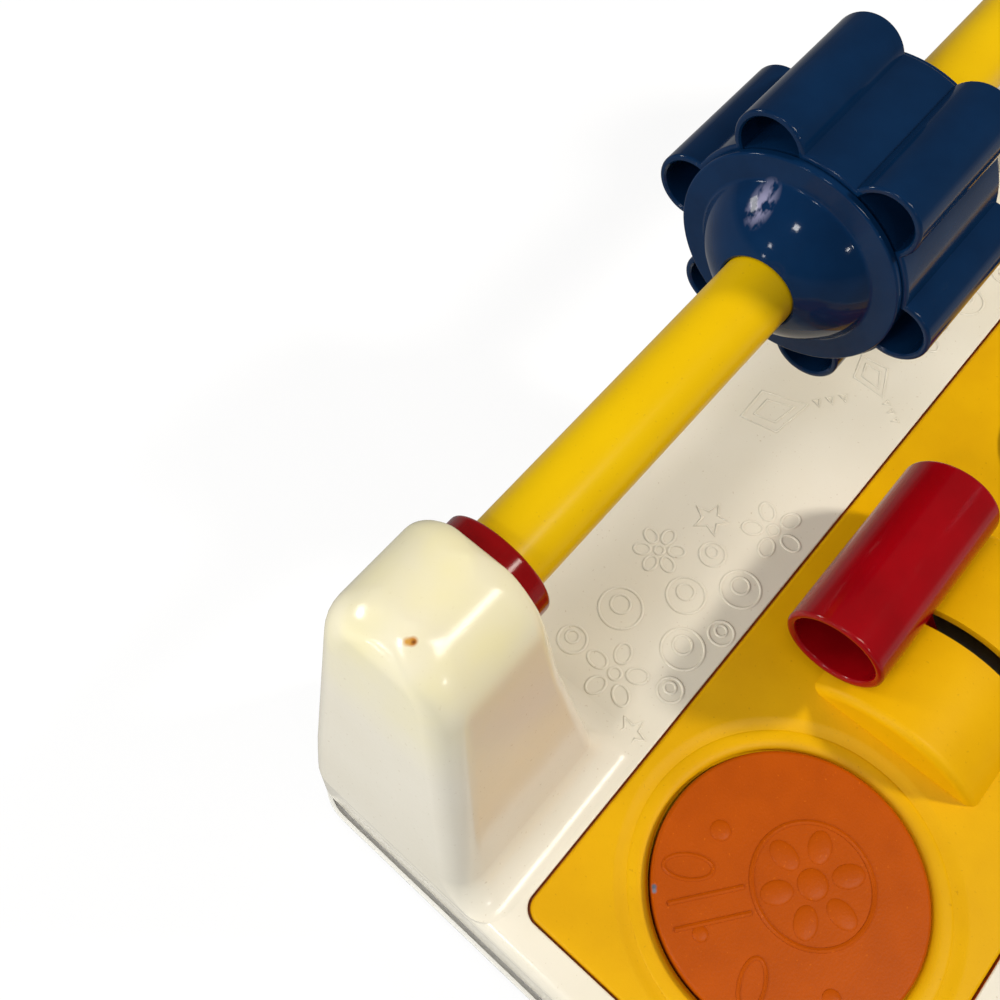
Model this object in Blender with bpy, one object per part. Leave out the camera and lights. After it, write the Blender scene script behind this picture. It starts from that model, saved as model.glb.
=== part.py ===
"""Baby activity center: a moulded base with two posts, a spinning drum on a carrying rod,
and a panel with a turning disc, a swinging lever, a squeaker button and a clicking dial.
Metres, +Z up, +X to the right, +Y to the back, origin under the middle of the whole object."""

import bpy
import bmesh
import math
from mathutils import Vector

# Gaps and cuts
GAP = 0.0003                  # between faces that touch or run on each other
OVERRUN = 0.004               # how far a cutter runs past the face it opens
SINK = 0.001                  # how far one moulded form runs into another before they are fused

# Base, from the feet up
BASE_LENGTH = 0.420           # left to right at the lower edge of the shell
BASE_DEPTH = 0.200            # front to back at the same edge
CORNER_RADIUS = 0.016         # upright corners of the base, seen from above
SIDE_DRAFT = math.radians(12.6)
WALL = 0.003                  # shell wall
FOOT_PROUD = 0.002            # feet below the tray
TRAY_HEIGHT = 0.008
GROOVE = 0.002                # shadow line between tray and shell
SKIRT_HEIGHT = 0.018          # shell's lower edge to its deck
DECK_EDGE_RADIUS = 0.004

# Carrying rod and posts
ROD_RADIUS = 0.011
ROD_BORE_RADIUS = 0.009
ROD_HEIGHT = 0.0825           # rod axis above the deck
ROD_FROM_BACK = 0.0266        # rod axis ahead of the base's back edge
COLLAR_RADIUS = 0.0158
COLLAR_THICKNESS = 0.0057
COLLAR_EDGE_ROUND = 0.0011
SLEEVE_RADIUS = 0.0135        # collar's sleeve in the post wall
SLEEVE_LENGTH = 0.012
ROD_INTO_POST = 0.016         # rod end past the post's face
PLUG_FLANGE = 0.002
PLUG_SPIGOT = 0.008
POST_FOOT_LENGTH = 0.060      # post's rod-side face to the base's end, at the shell's lower edge
POST_ARCH_RADIUS = 0.0219
POST_FRONT_FLARE = math.radians(11)
POST_BACK_FLARE = math.radians(3)
POST_FOOT_DRAFT = math.radians(5)
POST_STRAIGHT = 0.020         # below the rod axis, the rod-side face stays upright this far
POST_INNER_ROUND = 0.005      # edge round on the rod side
POST_OUTER_ROUND = 0.009      # edge round on the outer side
POST_SEAM = 0.0004            # post's outer face stands this far inside the skirt's
FOOT_FILLET = 0.010

# Drum on the rod
DRUM_LENGTH = 0.047
CORE_RADIUS = 0.0355
LOBE_COUNT = 6
LOBE_RADIUS = 0.0107
LOBE_CIRCLE = 0.0345
LOBE_PHASE = math.radians(5)
BARREL_WALL = 0.002
BARREL_LIP = 0.0008           # rounded edge of the lobe mouths
FLANGE_RADIUS = 0.0342
FLANGE_THICKNESS = 0.002
CAP_EDGE_ROUND = 0.0005
DOME_RADIUS = 0.0305
DOME_DEPTH = 0.015            # the dome's centre lies this far behind the flange's face
DOME_WALL = 0.0022
SPIGOT_DEPTH = 0.003
SPIGOT_WALL = 0.0022
BEARING_WALL = 0.002
STOP_RING_WIDTH = 0.004
STOP_RING_WALL = 0.003
STOP_SPACING = 0.036          # outer faces of the two stop rings

# Activity panel
PANEL_FROM_END = 0.0153       # panel's ends inside the base's
PANEL_DEPTH = 0.106
PANEL_THICKNESS = 0.003
PANEL_CORNER_RADIUS = 0.005
PANEL_EDGE_ROUND = 0.0012
PANEL_FROM_ROD = 0.0501       # panel's back edge ahead of the rod axis
LEDGE_WIDTH = 0.004
LEDGE_THICKNESS = 0.0025
STATION_INSET = 0.0536        # disc and dial centres from the panel's ends

# Turning disc and clicking dial
DISC_RADIUS = 0.0387
DISC_THICKNESS = 0.009
DISC_EDGE_ROUND = 0.0012
DISH_RADIUS = 0.0455
DISH_DEPTH = 0.003
WELL_CLEARANCE = 0.0007
WELL_DEPTH = 0.004
WELL_FLOOR = 0.0025
STEM_RADIUS = 0.006
STEM_TIP_RADIUS = 0.004
PILOT_DEPTH = 0.006
CLICK_WHEEL_RADIUS = 0.012
CLICK_WHEEL_THICKNESS = 0.003
CLICK_TEETH = 12
CLICK_NOTCH = 0.001
NOTCH_SHARES = (0.0, 0.5)     # where a tooth's valley and tip lie along its pitch
SPRING_POST_RADIUS = 0.003
SPRING_POST_CIRCLE = 0.028    # spring post from the disc's axis
SPRING_STRIP = 0.0006
SPRING_WIDTH = 0.0025
SPRING_WRAP = math.radians(171)
KNOB_LENGTH = 0.056
KNOB_WIDTH = 0.016
KNOB_HEIGHT = 0.014
KNOB_ROUND = 0.003

# Swinging lever
DISH_TO_HUMP = 0.0071         # along the panel, between the disc's dish and the lever's hump
LEVER_PIVOT_DEPTH = 0.0195    # pivot below the deck
LEVER_RADIUS = 0.0508         # pivot to the grip's axis
LEVER_REST = math.radians(35.9)
GRIP_RADIUS = 0.0157
GRIP_BORE_RADIUS = 0.013
GRIP_LENGTH = 0.066
GRIP_EDGE_ROUND = 0.0012
ARM_THICKNESS = 0.005
ARM_WIDTH = 0.012
TENON_WIDTH = 0.008
HUB_RADIUS = 0.0055
HUB_LENGTH = 0.012
PIN_RADIUS = 0.002
PIN_HEAD_RADIUS = 0.0034
PIN_HEAD = 0.0015
EAR_THICKNESS = 0.003
EAR_TOP_WIDTH = 0.026
EAR_BOSS_RADIUS = 0.0052
HUMP_RADIUS = 0.034
HUMP_WALL = 0.003
HUMP_SIDE = 0.0044            # hump beyond each end of the grip
HUMP_ROUND = 0.003
SLOT_CLEARANCE = 0.0006

# Squeaker button
BUTTON_RADIUS = 0.022
BUTTON_HEIGHT = 0.009         # above the deck
BUTTON_CROWN = 0.005
BUTTON_WALL = 0.0022
BUTTON_FLANGE = 0.0025
BUTTON_TRAVEL = 0.006
BEZEL_RADIUS = 0.030
BEZEL_HEIGHT = 0.004
BEZEL_WALL = 0.0024
BEZEL_ROUND = 0.001
BELLOWS_RADIUS = 0.013
BELLOWS_FOLD = 0.003
BELLOWS_FOLDS = 3
BELLOWS_WALL = 0.0012
BELLOWS_VENT = 0.002

# Tray, feet and screws
TRAY_FLOOR = 0.0025
TRAY_WALL = 0.0025
TRAY_EDGE_ROUND = 0.003
TONGUE_HEIGHT = 0.005
FOOT_RADIUS = 0.008
FOOT_SEAT = 0.0012            # foot's depth in the tray
FOOT_INSET_X = 0.024
FOOT_INSET_Y = 0.022
BOSS_RADIUS = 0.005
BOSS_SPLIT = 0.0145           # height at which tray bosses meet those above
SCREW_RADIUS = 0.0015
SCREW_HEAD_RADIUS = 0.0034
SCREW_HEAD = 0.0018
SCREW_BITE = 0.007            # thread above the split
REAR_SCREW_X = 0.100
REAR_SCREW_AHEAD = 0.004      # rear screws ahead of the rod axis
FRONT_SCREW_X = 0.088
FRONT_SCREW_INSET = 0.012     # front screws behind the panel's front edge

# Facets
ROUND_SEGMENTS = 28
WIDE_SEGMENTS = 40
SMALL_SEGMENTS = 10
ARC_STEPS = 3                 # a quarter turn of a large round
EDGE_STEPS = 2                # a quarter turn of a small one
DOME_STEPS = 6
LOBE_STEPS = 10
SHARP_ANGLE = math.radians(35)

# Heights and places that follow
TRAY_BOTTOM_Z = FOOT_PROUD
TRAY_TOP_Z = TRAY_BOTTOM_Z + TRAY_HEIGHT
SKIRT_Z = TRAY_TOP_Z + GROOVE
DECK_Z = SKIRT_Z + SKIRT_HEIGHT
ROD_Z = DECK_Z + ROD_HEIGHT
LOBE_REACH_BACK = LOBE_CIRCLE * math.cos(LOBE_PHASE) + LOBE_RADIUS
ROD_Y = (BASE_DEPTH - ROD_FROM_BACK - LOBE_REACH_BACK) / 2
BASE_Y = ROD_Y + ROD_FROM_BACK - BASE_DEPTH / 2
POST_FACE_X = BASE_LENGTH / 2 - POST_FOOT_LENGTH
COLLAR_X = POST_FACE_X - GAP - COLLAR_THICKNESS
PANEL_LENGTH = BASE_LENGTH - 2 * PANEL_FROM_END
PANEL_BACK_Y = ROD_Y - PANEL_FROM_ROD
PANEL_Y = PANEL_BACK_Y - PANEL_DEPTH / 2
STATION_X = PANEL_LENGTH / 2 - STATION_INSET
DISC_TOP_Z = DECK_Z - DISH_DEPTH - WELL_DEPTH + GAP + DISC_THICKNESS
WELL_FLOOR_Z = DECK_Z - DISH_DEPTH - WELL_DEPTH
CUP_BOTTOM_Z = WELL_FLOOR_Z - WELL_FLOOR
PIVOT_Z = DECK_Z - LEVER_PIVOT_DEPTH
HUMP_LENGTH = GRIP_LENGTH + 2 * HUMP_SIDE
LEVER_X = DISH_RADIUS + DISH_TO_HUMP + HUMP_LENGTH / 2 - STATION_X
BUTTON_X = (LEVER_X + HUMP_LENGTH / 2 + STATION_X - DISH_RADIUS) / 2
FLOOR_TOP_Z = TRAY_BOTTOM_Z + TRAY_FLOOR
BUTTON_LOW_Z = DECK_Z - PANEL_THICKNESS - SINK - GAP - BUTTON_FLANGE
BUTTON_STOP_Z = BUTTON_LOW_Z - BUTTON_TRAVEL - GAP


def clear_scene():
    for item in list(bpy.data.objects):
        bpy.data.objects.remove(item, do_unlink=True)


def plastic(name, colour, roughness, metallic=0.0):
    finish = bpy.data.materials.new(name)
    finish.use_nodes = True
    shader = finish.node_tree.nodes["Principled BSDF"]
    shader.inputs["Base Color"].default_value = (*colour, 1.0)
    shader.inputs["Roughness"].default_value = roughness
    shader.inputs["Metallic"].default_value = metallic
    return finish


def finish_object(name, shape, finish, place=(0, 0, 0), parent=None):
    """Turns a bmesh into a named object, faces out, round sides smooth."""
    bmesh.ops.recalc_face_normals(shape, faces=shape.faces)
    mesh = bpy.data.meshes.new(name)
    shape.to_mesh(mesh)
    shape.free()
    mesh.materials.append(finish)
    mesh.shade_smooth()
    mesh.set_sharp_from_angle(angle=SHARP_ANGLE)
    item = bpy.data.objects.new(name, mesh)
    bpy.context.scene.collection.objects.link(item)
    item.location = place
    item.parent = parent
    return item


def axis_empty(name, place):
    empty = bpy.data.objects.new(name, None)
    empty.location = place
    bpy.context.scene.collection.objects.link(empty)
    return empty


def loft(name, rings, finish, place=(0, 0, 0), closed=False, parent=None):
    """Skins a list of rings of equal point count; open ends are capped unless it closes on itself."""
    shape = bmesh.new()
    rows = [[shape.verts.new(point) for point in ring] for ring in rings]
    count = len(rows[0])
    pairs = list(zip(rows, rows[1:]))
    if closed:
        pairs.append((rows[-1], rows[0]))
    for lower, upper in pairs:
        for i in range(count):
            j = (i + 1) % count
            shape.faces.new((lower[i], lower[j], upper[j], upper[i]))
    if not closed:
        shape.faces.new(rows[0])
        shape.faces.new(rows[-1])
    return finish_object(name, shape, finish, place, parent)


def turned(name, profile, finish, segments, place=(0, 0, 0), lie=0, ring=False, parent=None):
    """Turns (radius, height) points about Z. A ring profile closes on itself, and a solid's flat
    ends are capped, or meet the axis at a point. lie tips the piece onto X, +1 right or -1 left."""
    shape = bmesh.new()
    rows = []
    for radius, height in profile:
        if radius == 0:
            rows.append([shape.verts.new((0, 0, height))])
            continue
        row = []
        for step in range(segments):
            angle = math.tau * step / segments
            row.append(shape.verts.new((radius * math.cos(angle), radius * math.sin(angle), height)))
        rows.append(row)
    pairs = list(zip(rows, rows[1:]))
    if ring:
        pairs.append((rows[-1], rows[0]))
    for first, second in pairs:
        for i in range(segments):
            j = (i + 1) % segments
            if len(first) == 1:
                shape.faces.new((first[0], second[j], second[i]))
            elif len(second) == 1:
                shape.faces.new((first[i], first[j], second[0]))
            else:
                shape.faces.new((first[i], first[j], second[j], second[i]))
    if not ring:
        for row in (rows[0], rows[-1]):
            if len(row) > 1:
                shape.faces.new(row)
    item = finish_object(name, shape, finish, place, parent)
    item.rotation_euler.y = lie * math.pi / 2
    return item


def extruded(name, outline, low, high, finish, place=(0, 0, 0), along="Z", parent=None):
    """Extrudes a flat outline along Z, or an outline of (Y, Z) points along X."""
    def point(a, b, c):
        return (a, b, c) if along == "Z" else (c, a, b)
    rings = [[point(a, b, level) for a, b in outline] for level in (low, high)]
    return loft(name, rings, finish, place, False, parent)


def cylinder(name, radius, low, high, finish, place, segments=SMALL_SEGMENTS, lie=0, parent=None):
    profile = [(radius, low), (radius, high)]
    return turned(name, profile, finish, segments, place, lie, False, parent)


def combine(target, tool, operation):
    """Fuses the tool with the target, or cuts it out, and takes the tool away."""
    step = target.modifiers.new(operation.title(), "BOOLEAN")
    step.operation = operation
    step.solver = "EXACT"
    step.object = tool
    tool.hide_render = True
    tool.display_type = "WIRE"
    graph = bpy.context.evaluated_depsgraph_get()
    solid = bpy.data.meshes.new_from_object(target.evaluated_get(graph))
    target.modifiers.clear()
    target.data = solid
    bpy.data.objects.remove(tool, do_unlink=True)


def fuse(target, tool):
    combine(target, tool, "UNION")


def cut(target, tool):
    combine(target, tool, "DIFFERENCE")


def smooth_again(item):
    item.data.shade_smooth()
    item.data.set_sharp_from_angle(angle=SHARP_ANGLE)


def arc(centre, radius, start, end, steps):
    """Points on an arc, both ends included."""
    points = []
    for step in range(steps + 1):
        angle = start + (end - start) * step / steps
        points.append((centre[0] + radius * math.cos(angle), centre[1] + radius * math.sin(angle)))
    return points


def box_outline(centre, half_x, half_y, radius, steps=ARC_STEPS):
    """A rectangle with round corners, counter-clockwise from its right side."""
    points = []
    for corner in range(4):
        side_x = 1 if corner in (0, 3) else -1
        side_y = 1 if corner in (0, 1) else -1
        middle = (centre[0] + side_x * (half_x - radius), centre[1] + side_y * (half_y - radius))
        start = corner * math.pi / 2
        points += arc(middle, radius, start, start + math.pi / 2, steps)
    return points


def at_height(outline, height):
    return [(x, y, height) for x, y in outline]


def round_over(radius, distance):
    """How far a rounded edge draws in, at a distance from the face it rounds into."""
    if distance >= radius:
        return 0.0
    return radius - math.sqrt(radius ** 2 - (radius - max(distance, 0.0)) ** 2)


def base_ring(height, inset=0.0):
    """Outline of the base's drafted sides at a height, drawn in by an inset."""
    drawn = (height - SKIRT_Z) * math.tan(SIDE_DRAFT) + inset
    half_x = BASE_LENGTH / 2 - drawn
    half_y = BASE_DEPTH / 2 - drawn
    return at_height(box_outline((0, BASE_Y), half_x, half_y, CORNER_RADIUS - inset), height)


def edge_rings(bottom, top, radius, inset=0.0):
    """Rings of the base's sides up to a rounded top edge."""
    rings = [base_ring(bottom, inset)]
    for step in range(ARC_STEPS + 1):
        angle = math.pi / 2 * step / ARC_STEPS
        height = top - radius + radius * math.sin(angle)
        rings.append(base_ring(height, inset + radius - radius * math.cos(angle)))
    return rings


def post_ring(height, side, inset, fillet):
    """Outline of a post at a height. side is -1 for the left post and 1 for the right."""
    arch = POST_ARCH_RADIUS - inset
    rise = height - ROD_Z
    top = ROD_Z + arch
    if rise > arch * math.sin(POST_FRONT_FLARE):
        front = math.sqrt(max(arch ** 2 - rise ** 2, 0.0))
    else:
        drop = arch * math.sin(POST_FRONT_FLARE) - rise
        front = arch * math.cos(POST_FRONT_FLARE) + drop * math.tan(POST_FRONT_FLARE)
    if rise > arch * math.sin(POST_BACK_FLARE):
        back = math.sqrt(max(arch ** 2 - rise ** 2, 0.0))
    else:
        drop = arch * math.sin(POST_BACK_FLARE) - rise
        back = arch * math.cos(POST_BACK_FLARE) + drop * math.tan(POST_BACK_FLARE)
    near = POST_FACE_X + inset - max(0.0, -rise - POST_STRAIGHT) * math.tan(POST_FOOT_DRAFT)
    far = BASE_LENGTH / 2 - (height - SKIRT_Z) * math.tan(SIDE_DRAFT) - POST_SEAM - inset
    near_round = max(POST_INNER_ROUND - inset, SINK)
    far_round = max(POST_OUTER_ROUND - inset, SINK)
    near += round_over(near_round, top - height)
    far -= round_over(far_round, top - height)
    spread = round_over(FOOT_FILLET, height - DECK_Z + GAP) if fillet else 0.0
    near -= spread
    front += spread
    low_y = ROD_Y - front
    high_y = ROD_Y + back
    half_depth = (high_y - low_y) / 2
    near_round = min(near_round, half_depth)
    far_round = min(far_round, half_depth)
    points = arc((far - far_round, high_y - far_round), far_round, 0, math.pi / 2, ARC_STEPS)
    points += arc((near + near_round, high_y - near_round), near_round, math.pi / 2, math.pi, ARC_STEPS)
    points += arc((near + near_round, low_y + near_round), near_round, math.pi, math.pi * 3 / 2, ARC_STEPS)
    points += arc((far - far_round, low_y + far_round), far_round, -math.pi / 2, 0, ARC_STEPS)
    return [(side * x, y, height) for x, y in points]


def post(side, inset, finish):
    """One post as a stack of outlines, from inside the skirt to the crown of its arch."""
    fillet = inset == 0
    arch = POST_ARCH_RADIUS - inset
    if fillet:
        heights = [SKIRT_Z + WALL]
        heights += [DECK_Z - GAP + FOOT_FILLET * (1 - math.cos(math.pi / 2 * k / ARC_STEPS))
                    for k in range(ARC_STEPS + 1)]
    else:
        heights = [SKIRT_Z - OVERRUN, DECK_Z]
    heights += [ROD_Z - POST_STRAIGHT, ROD_Z]
    crown_steps = 2 * ARC_STEPS
    heights += [ROD_Z + arch * math.sin(math.pi / 2 * k / crown_steps) for k in range(1, crown_steps)]
    rings = [post_ring(height, side, inset, fillet) for height in heights]
    return loft("post", rings, finish)


REAR_SCREWS = [(-REAR_SCREW_X, ROD_Y - REAR_SCREW_AHEAD), (0, ROD_Y - REAR_SCREW_AHEAD),
               (REAR_SCREW_X, ROD_Y - REAR_SCREW_AHEAD)]
FRONT_SCREW_Y = PANEL_Y - PANEL_DEPTH / 2 + FRONT_SCREW_INSET
FRONT_SCREWS = [(-FRONT_SCREW_X, FRONT_SCREW_Y), (0, FRONT_SCREW_Y), (FRONT_SCREW_X, FRONT_SCREW_Y)]


def add_boss(target, finish, place, top):
    """A screw boss that hangs under a moulding, with its pilot hole."""
    low = BOSS_SPLIT + GAP
    fuse(target, cylinder("boss", BOSS_RADIUS, low, top, finish, (*place, 0)))
    pilot = SCREW_RADIUS + GAP
    cut(target, cylinder("pilot", pilot, low - OVERRUN, low + SCREW_BITE + SINK, finish, (*place, 0)))


def build_shell(finish):
    """White top shell: drafted skirt, two posts with arched tops, panel opening with a ledge."""
    shell = loft("top_shell", edge_rings(SKIRT_Z, DECK_Z, DECK_EDGE_RADIUS), finish)
    for side in (-1, 1):
        fuse(shell, post(side, 0, finish))
    cut(shell, loft("hollow", [base_ring(SKIRT_Z - OVERRUN, WALL), base_ring(DECK_Z - WALL, WALL)], finish))
    for side in (-1, 1):
        cut(shell, post(side, WALL, finish))
    half_x = PANEL_LENGTH / 2
    half_y = PANEL_DEPTH / 2
    seat_z = DECK_Z - PANEL_THICKNESS
    ledge = box_outline((0, PANEL_Y), half_x + LEDGE_WIDTH, half_y + LEDGE_WIDTH, PANEL_CORNER_RADIUS)
    fuse(shell, extruded("ledge", ledge, seat_z - LEDGE_THICKNESS, DECK_Z - SINK, finish))
    opening = box_outline((0, PANEL_Y), half_x + GAP, half_y + GAP, PANEL_CORNER_RADIUS + GAP)
    cut(shell, extruded("opening", opening, seat_z - GAP, DECK_Z + OVERRUN, finish))
    inner = box_outline((0, PANEL_Y), half_x - LEDGE_WIDTH, half_y - LEDGE_WIDTH, PANEL_CORNER_RADIUS)
    cut(shell, extruded("inner_opening", inner, SKIRT_Z, DECK_Z, finish))
    bore_end = POST_FACE_X + WALL + OVERRUN
    for side in (-1, 1):
        place = (side * (POST_FACE_X - OVERRUN), ROD_Y, ROD_Z)
        bore = cylinder("bore", SLEEVE_RADIUS + GAP, 0, bore_end - POST_FACE_X + OVERRUN, finish, place,
                        ROUND_SEGMENTS, side)
        cut(shell, bore)
    for place in REAR_SCREWS:
        add_boss(shell, finish, place, DECK_Z - SINK)
    smooth_again(shell)
    return shell


def tray_ring(height, inset):
    return at_height(box_outline((0, BASE_Y), BASE_LENGTH / 2 - inset, BASE_DEPTH / 2 - inset,
                                 CORNER_RADIUS - inset), height)


FEET = [(x, y) for y in (BASE_Y - BASE_DEPTH / 2 + FOOT_INSET_Y, BASE_Y + BASE_DEPTH / 2 - FOOT_INSET_Y)
        for x in (-BASE_LENGTH / 2 + FOOT_INSET_X, BASE_LENGTH / 2 - FOOT_INSET_X)]


def build_tray(finish):
    """Bottom tray: rounded rim, tongue inside the skirt, bosses and seats for the feet."""
    rings = []
    for step in range(ARC_STEPS + 1):
        angle = math.pi / 2 * step / ARC_STEPS
        height = TRAY_BOTTOM_Z + TRAY_EDGE_ROUND - TRAY_EDGE_ROUND * math.cos(angle)
        rings.append(tray_ring(height, TRAY_EDGE_ROUND - TRAY_EDGE_ROUND * math.sin(angle)))
    rings.append(tray_ring(TRAY_TOP_Z, 0))
    tray = loft("base_tray", rings, finish)
    tongue_top = SKIRT_Z + TONGUE_HEIGHT
    tongue = [base_ring(TRAY_TOP_Z - SINK, WALL + GAP), base_ring(tongue_top, WALL + GAP)]
    fuse(tray, loft("tongue", tongue, finish))
    hollow_inset = WALL + GAP + TRAY_WALL
    hollow = [base_ring(FLOOR_TOP_Z, hollow_inset), base_ring(tongue_top + OVERRUN, hollow_inset)]
    cut(tray, loft("hollow", hollow, finish))
    for place in REAR_SCREWS + FRONT_SCREWS:
        fuse(tray, cylinder("boss", BOSS_RADIUS, FLOOR_TOP_Z - SINK, BOSS_SPLIT, finish, (*place, 0)))
        cut(tray, cylinder("hole", SCREW_RADIUS + GAP, 0, BOSS_SPLIT + OVERRUN, finish, (*place, 0)))
        head_z = TRAY_BOTTOM_Z + SCREW_HEAD + 2 * GAP
        cut(tray, cylinder("seat", SCREW_HEAD_RADIUS + GAP, 0, head_z, finish, (*place, 0)))
    for place in FEET:
        seat_z = TRAY_BOTTOM_Z + FOOT_SEAT + GAP
        cut(tray, cylinder("seat", FOOT_RADIUS + GAP, 0, seat_z, finish, (*place, 0), ROUND_SEGMENTS))
    bellows_seat = BELLOWS_RADIUS - BELLOWS_FOLD - BELLOWS_WALL - GAP
    spot = (BUTTON_X, PANEL_Y, 0)
    fuse(tray, cylinder("spigot", bellows_seat, FLOOR_TOP_Z - SINK, FLOOR_TOP_Z + SINK, finish, spot))
    stop_inner = BUTTON_RADIUS - BUTTON_WALL
    stop = ring_profile(stop_inner, stop_inner + TRAY_WALL, FLOOR_TOP_Z - SINK, BUTTON_STOP_Z, 0, 0)
    fuse(tray, turned("button_stop", stop, finish, ROUND_SEGMENTS, spot, 0, True))
    smooth_again(tray)
    return tray


def build_feet(finish):
    """Four rubber feet, pressed into the tray."""
    for index, place in enumerate(FEET):
        cylinder(f"rubber_foot_{index + 1}", FOOT_RADIUS, 0, FOOT_PROUD + FOOT_SEAT, finish,
                 (*place, 0), ROUND_SEGMENTS // 2)


def build_screws(finish):
    """Six base screws, heads sunk in the tray."""
    head_low = TRAY_BOTTOM_Z + GAP
    head_high = head_low + SCREW_HEAD
    shank_high = BOSS_SPLIT + GAP + SCREW_BITE
    profile = [(SCREW_HEAD_RADIUS, head_low), (SCREW_HEAD_RADIUS, head_high),
               (SCREW_RADIUS, head_high), (SCREW_RADIUS, shank_high)]
    for index, place in enumerate(REAR_SCREWS + FRONT_SCREWS):
        turned(f"base_screw_{index + 1}", profile, finish, SMALL_SEGMENTS, (*place, 0))


def ring_profile(inner, outer, low, high, round_low, round_high):
    """Closed profile of a sleeve whose outer edges are rounded."""
    points = [(inner, low)]
    if round_low:
        points += arc((outer - round_low, low + round_low), round_low, -math.pi / 2, 0, EDGE_STEPS)
    else:
        points.append((outer, low))
    if round_high:
        points += arc((outer - round_high, high - round_high), round_high, 0, math.pi / 2, EDGE_STEPS)
    else:
        points.append((outer, high))
    points.append((inner, high))
    return points


def build_rod(rod_finish, collar_finish, inner_finish):
    """Yellow carrying rod, its red end collars, the plugs inside the posts and two stop rings."""
    half = POST_FACE_X + ROD_INTO_POST
    turned("handle_rod", ring_profile(ROD_BORE_RADIUS, ROD_RADIUS, -half, half, 0, 0), rod_finish,
           ROUND_SEGMENTS, (0, ROD_Y, ROD_Z), 1, True)
    bore = ROD_RADIUS + GAP
    edge = COLLAR_EDGE_ROUND
    for side, word in ((-1, "left"), (1, "right")):
        profile = [(bore, 0)]
        profile += arc((COLLAR_RADIUS - edge, edge), edge, -math.pi / 2, 0, EDGE_STEPS)
        profile += [(COLLAR_RADIUS, COLLAR_THICKNESS), (SLEEVE_RADIUS, COLLAR_THICKNESS),
                    (SLEEVE_RADIUS, COLLAR_THICKNESS + SLEEVE_LENGTH),
                    (bore, COLLAR_THICKNESS + SLEEVE_LENGTH)]
        turned(word + "_end_collar", profile, collar_finish, ROUND_SEGMENTS,
               (side * COLLAR_X, ROD_Y, ROD_Z), side, True)
        spigot = ROD_BORE_RADIUS - GAP
        plug = [(spigot, -PLUG_SPIGOT), (spigot, GAP), (SLEEVE_RADIUS, GAP),
                (SLEEVE_RADIUS, GAP + PLUG_FLANGE)]
        turned(word + "_rod_plug", plug, inner_finish, ROUND_SEGMENTS // 2,
               (side * half, ROD_Y, ROD_Z), side)
        stop = ring_profile(bore, bore + STOP_RING_WALL, -STOP_RING_WIDTH, 0, 0, 0)
        turned(word + "_rod_stop", stop, inner_finish, ROUND_SEGMENTS // 2,
               (side * STOP_SPACING / 2, ROD_Y, ROD_Z), side, True)


def lobed_outline(inset):
    """Cross-section of the drum: a round core with half-round lobes, drawn in by an inset."""
    core = CORE_RADIUS - inset
    lobe = LOBE_RADIUS - inset
    spread = math.acos((LOBE_CIRCLE ** 2 + core ** 2 - lobe ** 2) / (2 * LOBE_CIRCLE * core))
    swing = math.atan2(core * math.sin(spread), core * math.cos(spread) - LOBE_CIRCLE)
    pitch = math.tau / LOBE_COUNT
    points = []
    for index in range(LOBE_COUNT):
        heading = LOBE_PHASE + index * pitch
        middle = (LOBE_CIRCLE * math.cos(heading), LOBE_CIRCLE * math.sin(heading))
        points += arc(middle, lobe, heading - swing, heading + swing, LOBE_STEPS)
        valley = arc((0, 0), core, heading + spread, heading + pitch - spread, ARC_STEPS)
        points += valley[1:-1]
    return points


def build_drum(finish, cap_finish):
    """Navy drum: lobed barrel between two domed caps that run on the rod."""
    axis = axis_empty("drum_axis", (0, ROD_Y, ROD_Z))
    half = DRUM_LENGTH / 2
    lip = BARREL_LIP

    def ring(x, inset):
        return [(x, y, z) for y, z in lobed_outline(inset)]
    rings = [ring(-half + lip, 0), ring(half - lip, 0), ring(half, lip), ring(half, BARREL_WALL),
             ring(-half, BARREL_WALL), ring(-half, lip)]
    loft("drum_barrel", rings, finish, (0, 0, 0), True, axis)
    bore = ROD_RADIUS + GAP
    face = GAP + FLANGE_THICKNESS
    middle = face - DOME_DEPTH
    inner_dome = DOME_RADIUS - DOME_WALL
    bearing = bore + BEARING_WALL
    spigot = CORE_RADIUS - BARREL_WALL - GAP
    reach = half - STOP_SPACING / 2 - GAP
    edge = CAP_EDGE_ROUND
    profile = [(bore, -reach), (bearing, -reach)]
    profile += arc((0, middle), inner_dome, math.acos(bearing / inner_dome),
                   math.asin((GAP - middle) / inner_dome), EDGE_STEPS + 1)
    profile += [(spigot - SPIGOT_WALL, GAP), (spigot - SPIGOT_WALL, -SPIGOT_DEPTH),
                (spigot, -SPIGOT_DEPTH), (spigot, GAP), (FLANGE_RADIUS, GAP)]
    profile += [(FLANGE_RADIUS, face - edge), (FLANGE_RADIUS - edge, face)]
    profile += arc((0, middle), DOME_RADIUS, math.asin(DOME_DEPTH / DOME_RADIUS),
                   math.acos((bore + edge) / DOME_RADIUS), DOME_STEPS)
    crown = middle + math.sqrt(DOME_RADIUS ** 2 - (bore + edge) ** 2)
    profile.append((bore, crown - edge))
    for side, word in ((-1, "left"), (1, "right")):
        turned(word + "_drum_cap", profile, cap_finish, ROUND_SEGMENTS, (side * half, 0, 0), side,
               True, axis)


def dish_profile():
    """What a dish, its well and the spindle hole take out of the panel."""
    well = DISC_RADIUS + WELL_CLEARANCE
    hole = STEM_RADIUS + GAP
    slope = OVERRUN * (DISH_RADIUS - well) / DISH_DEPTH
    return [(DISH_RADIUS + slope, DECK_Z + OVERRUN), (well, DECK_Z - DISH_DEPTH),
            (well, WELL_FLOOR_Z), (hole, WELL_FLOOR_Z), (hole, CUP_BOTTOM_Z - OVERRUN)]


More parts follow.
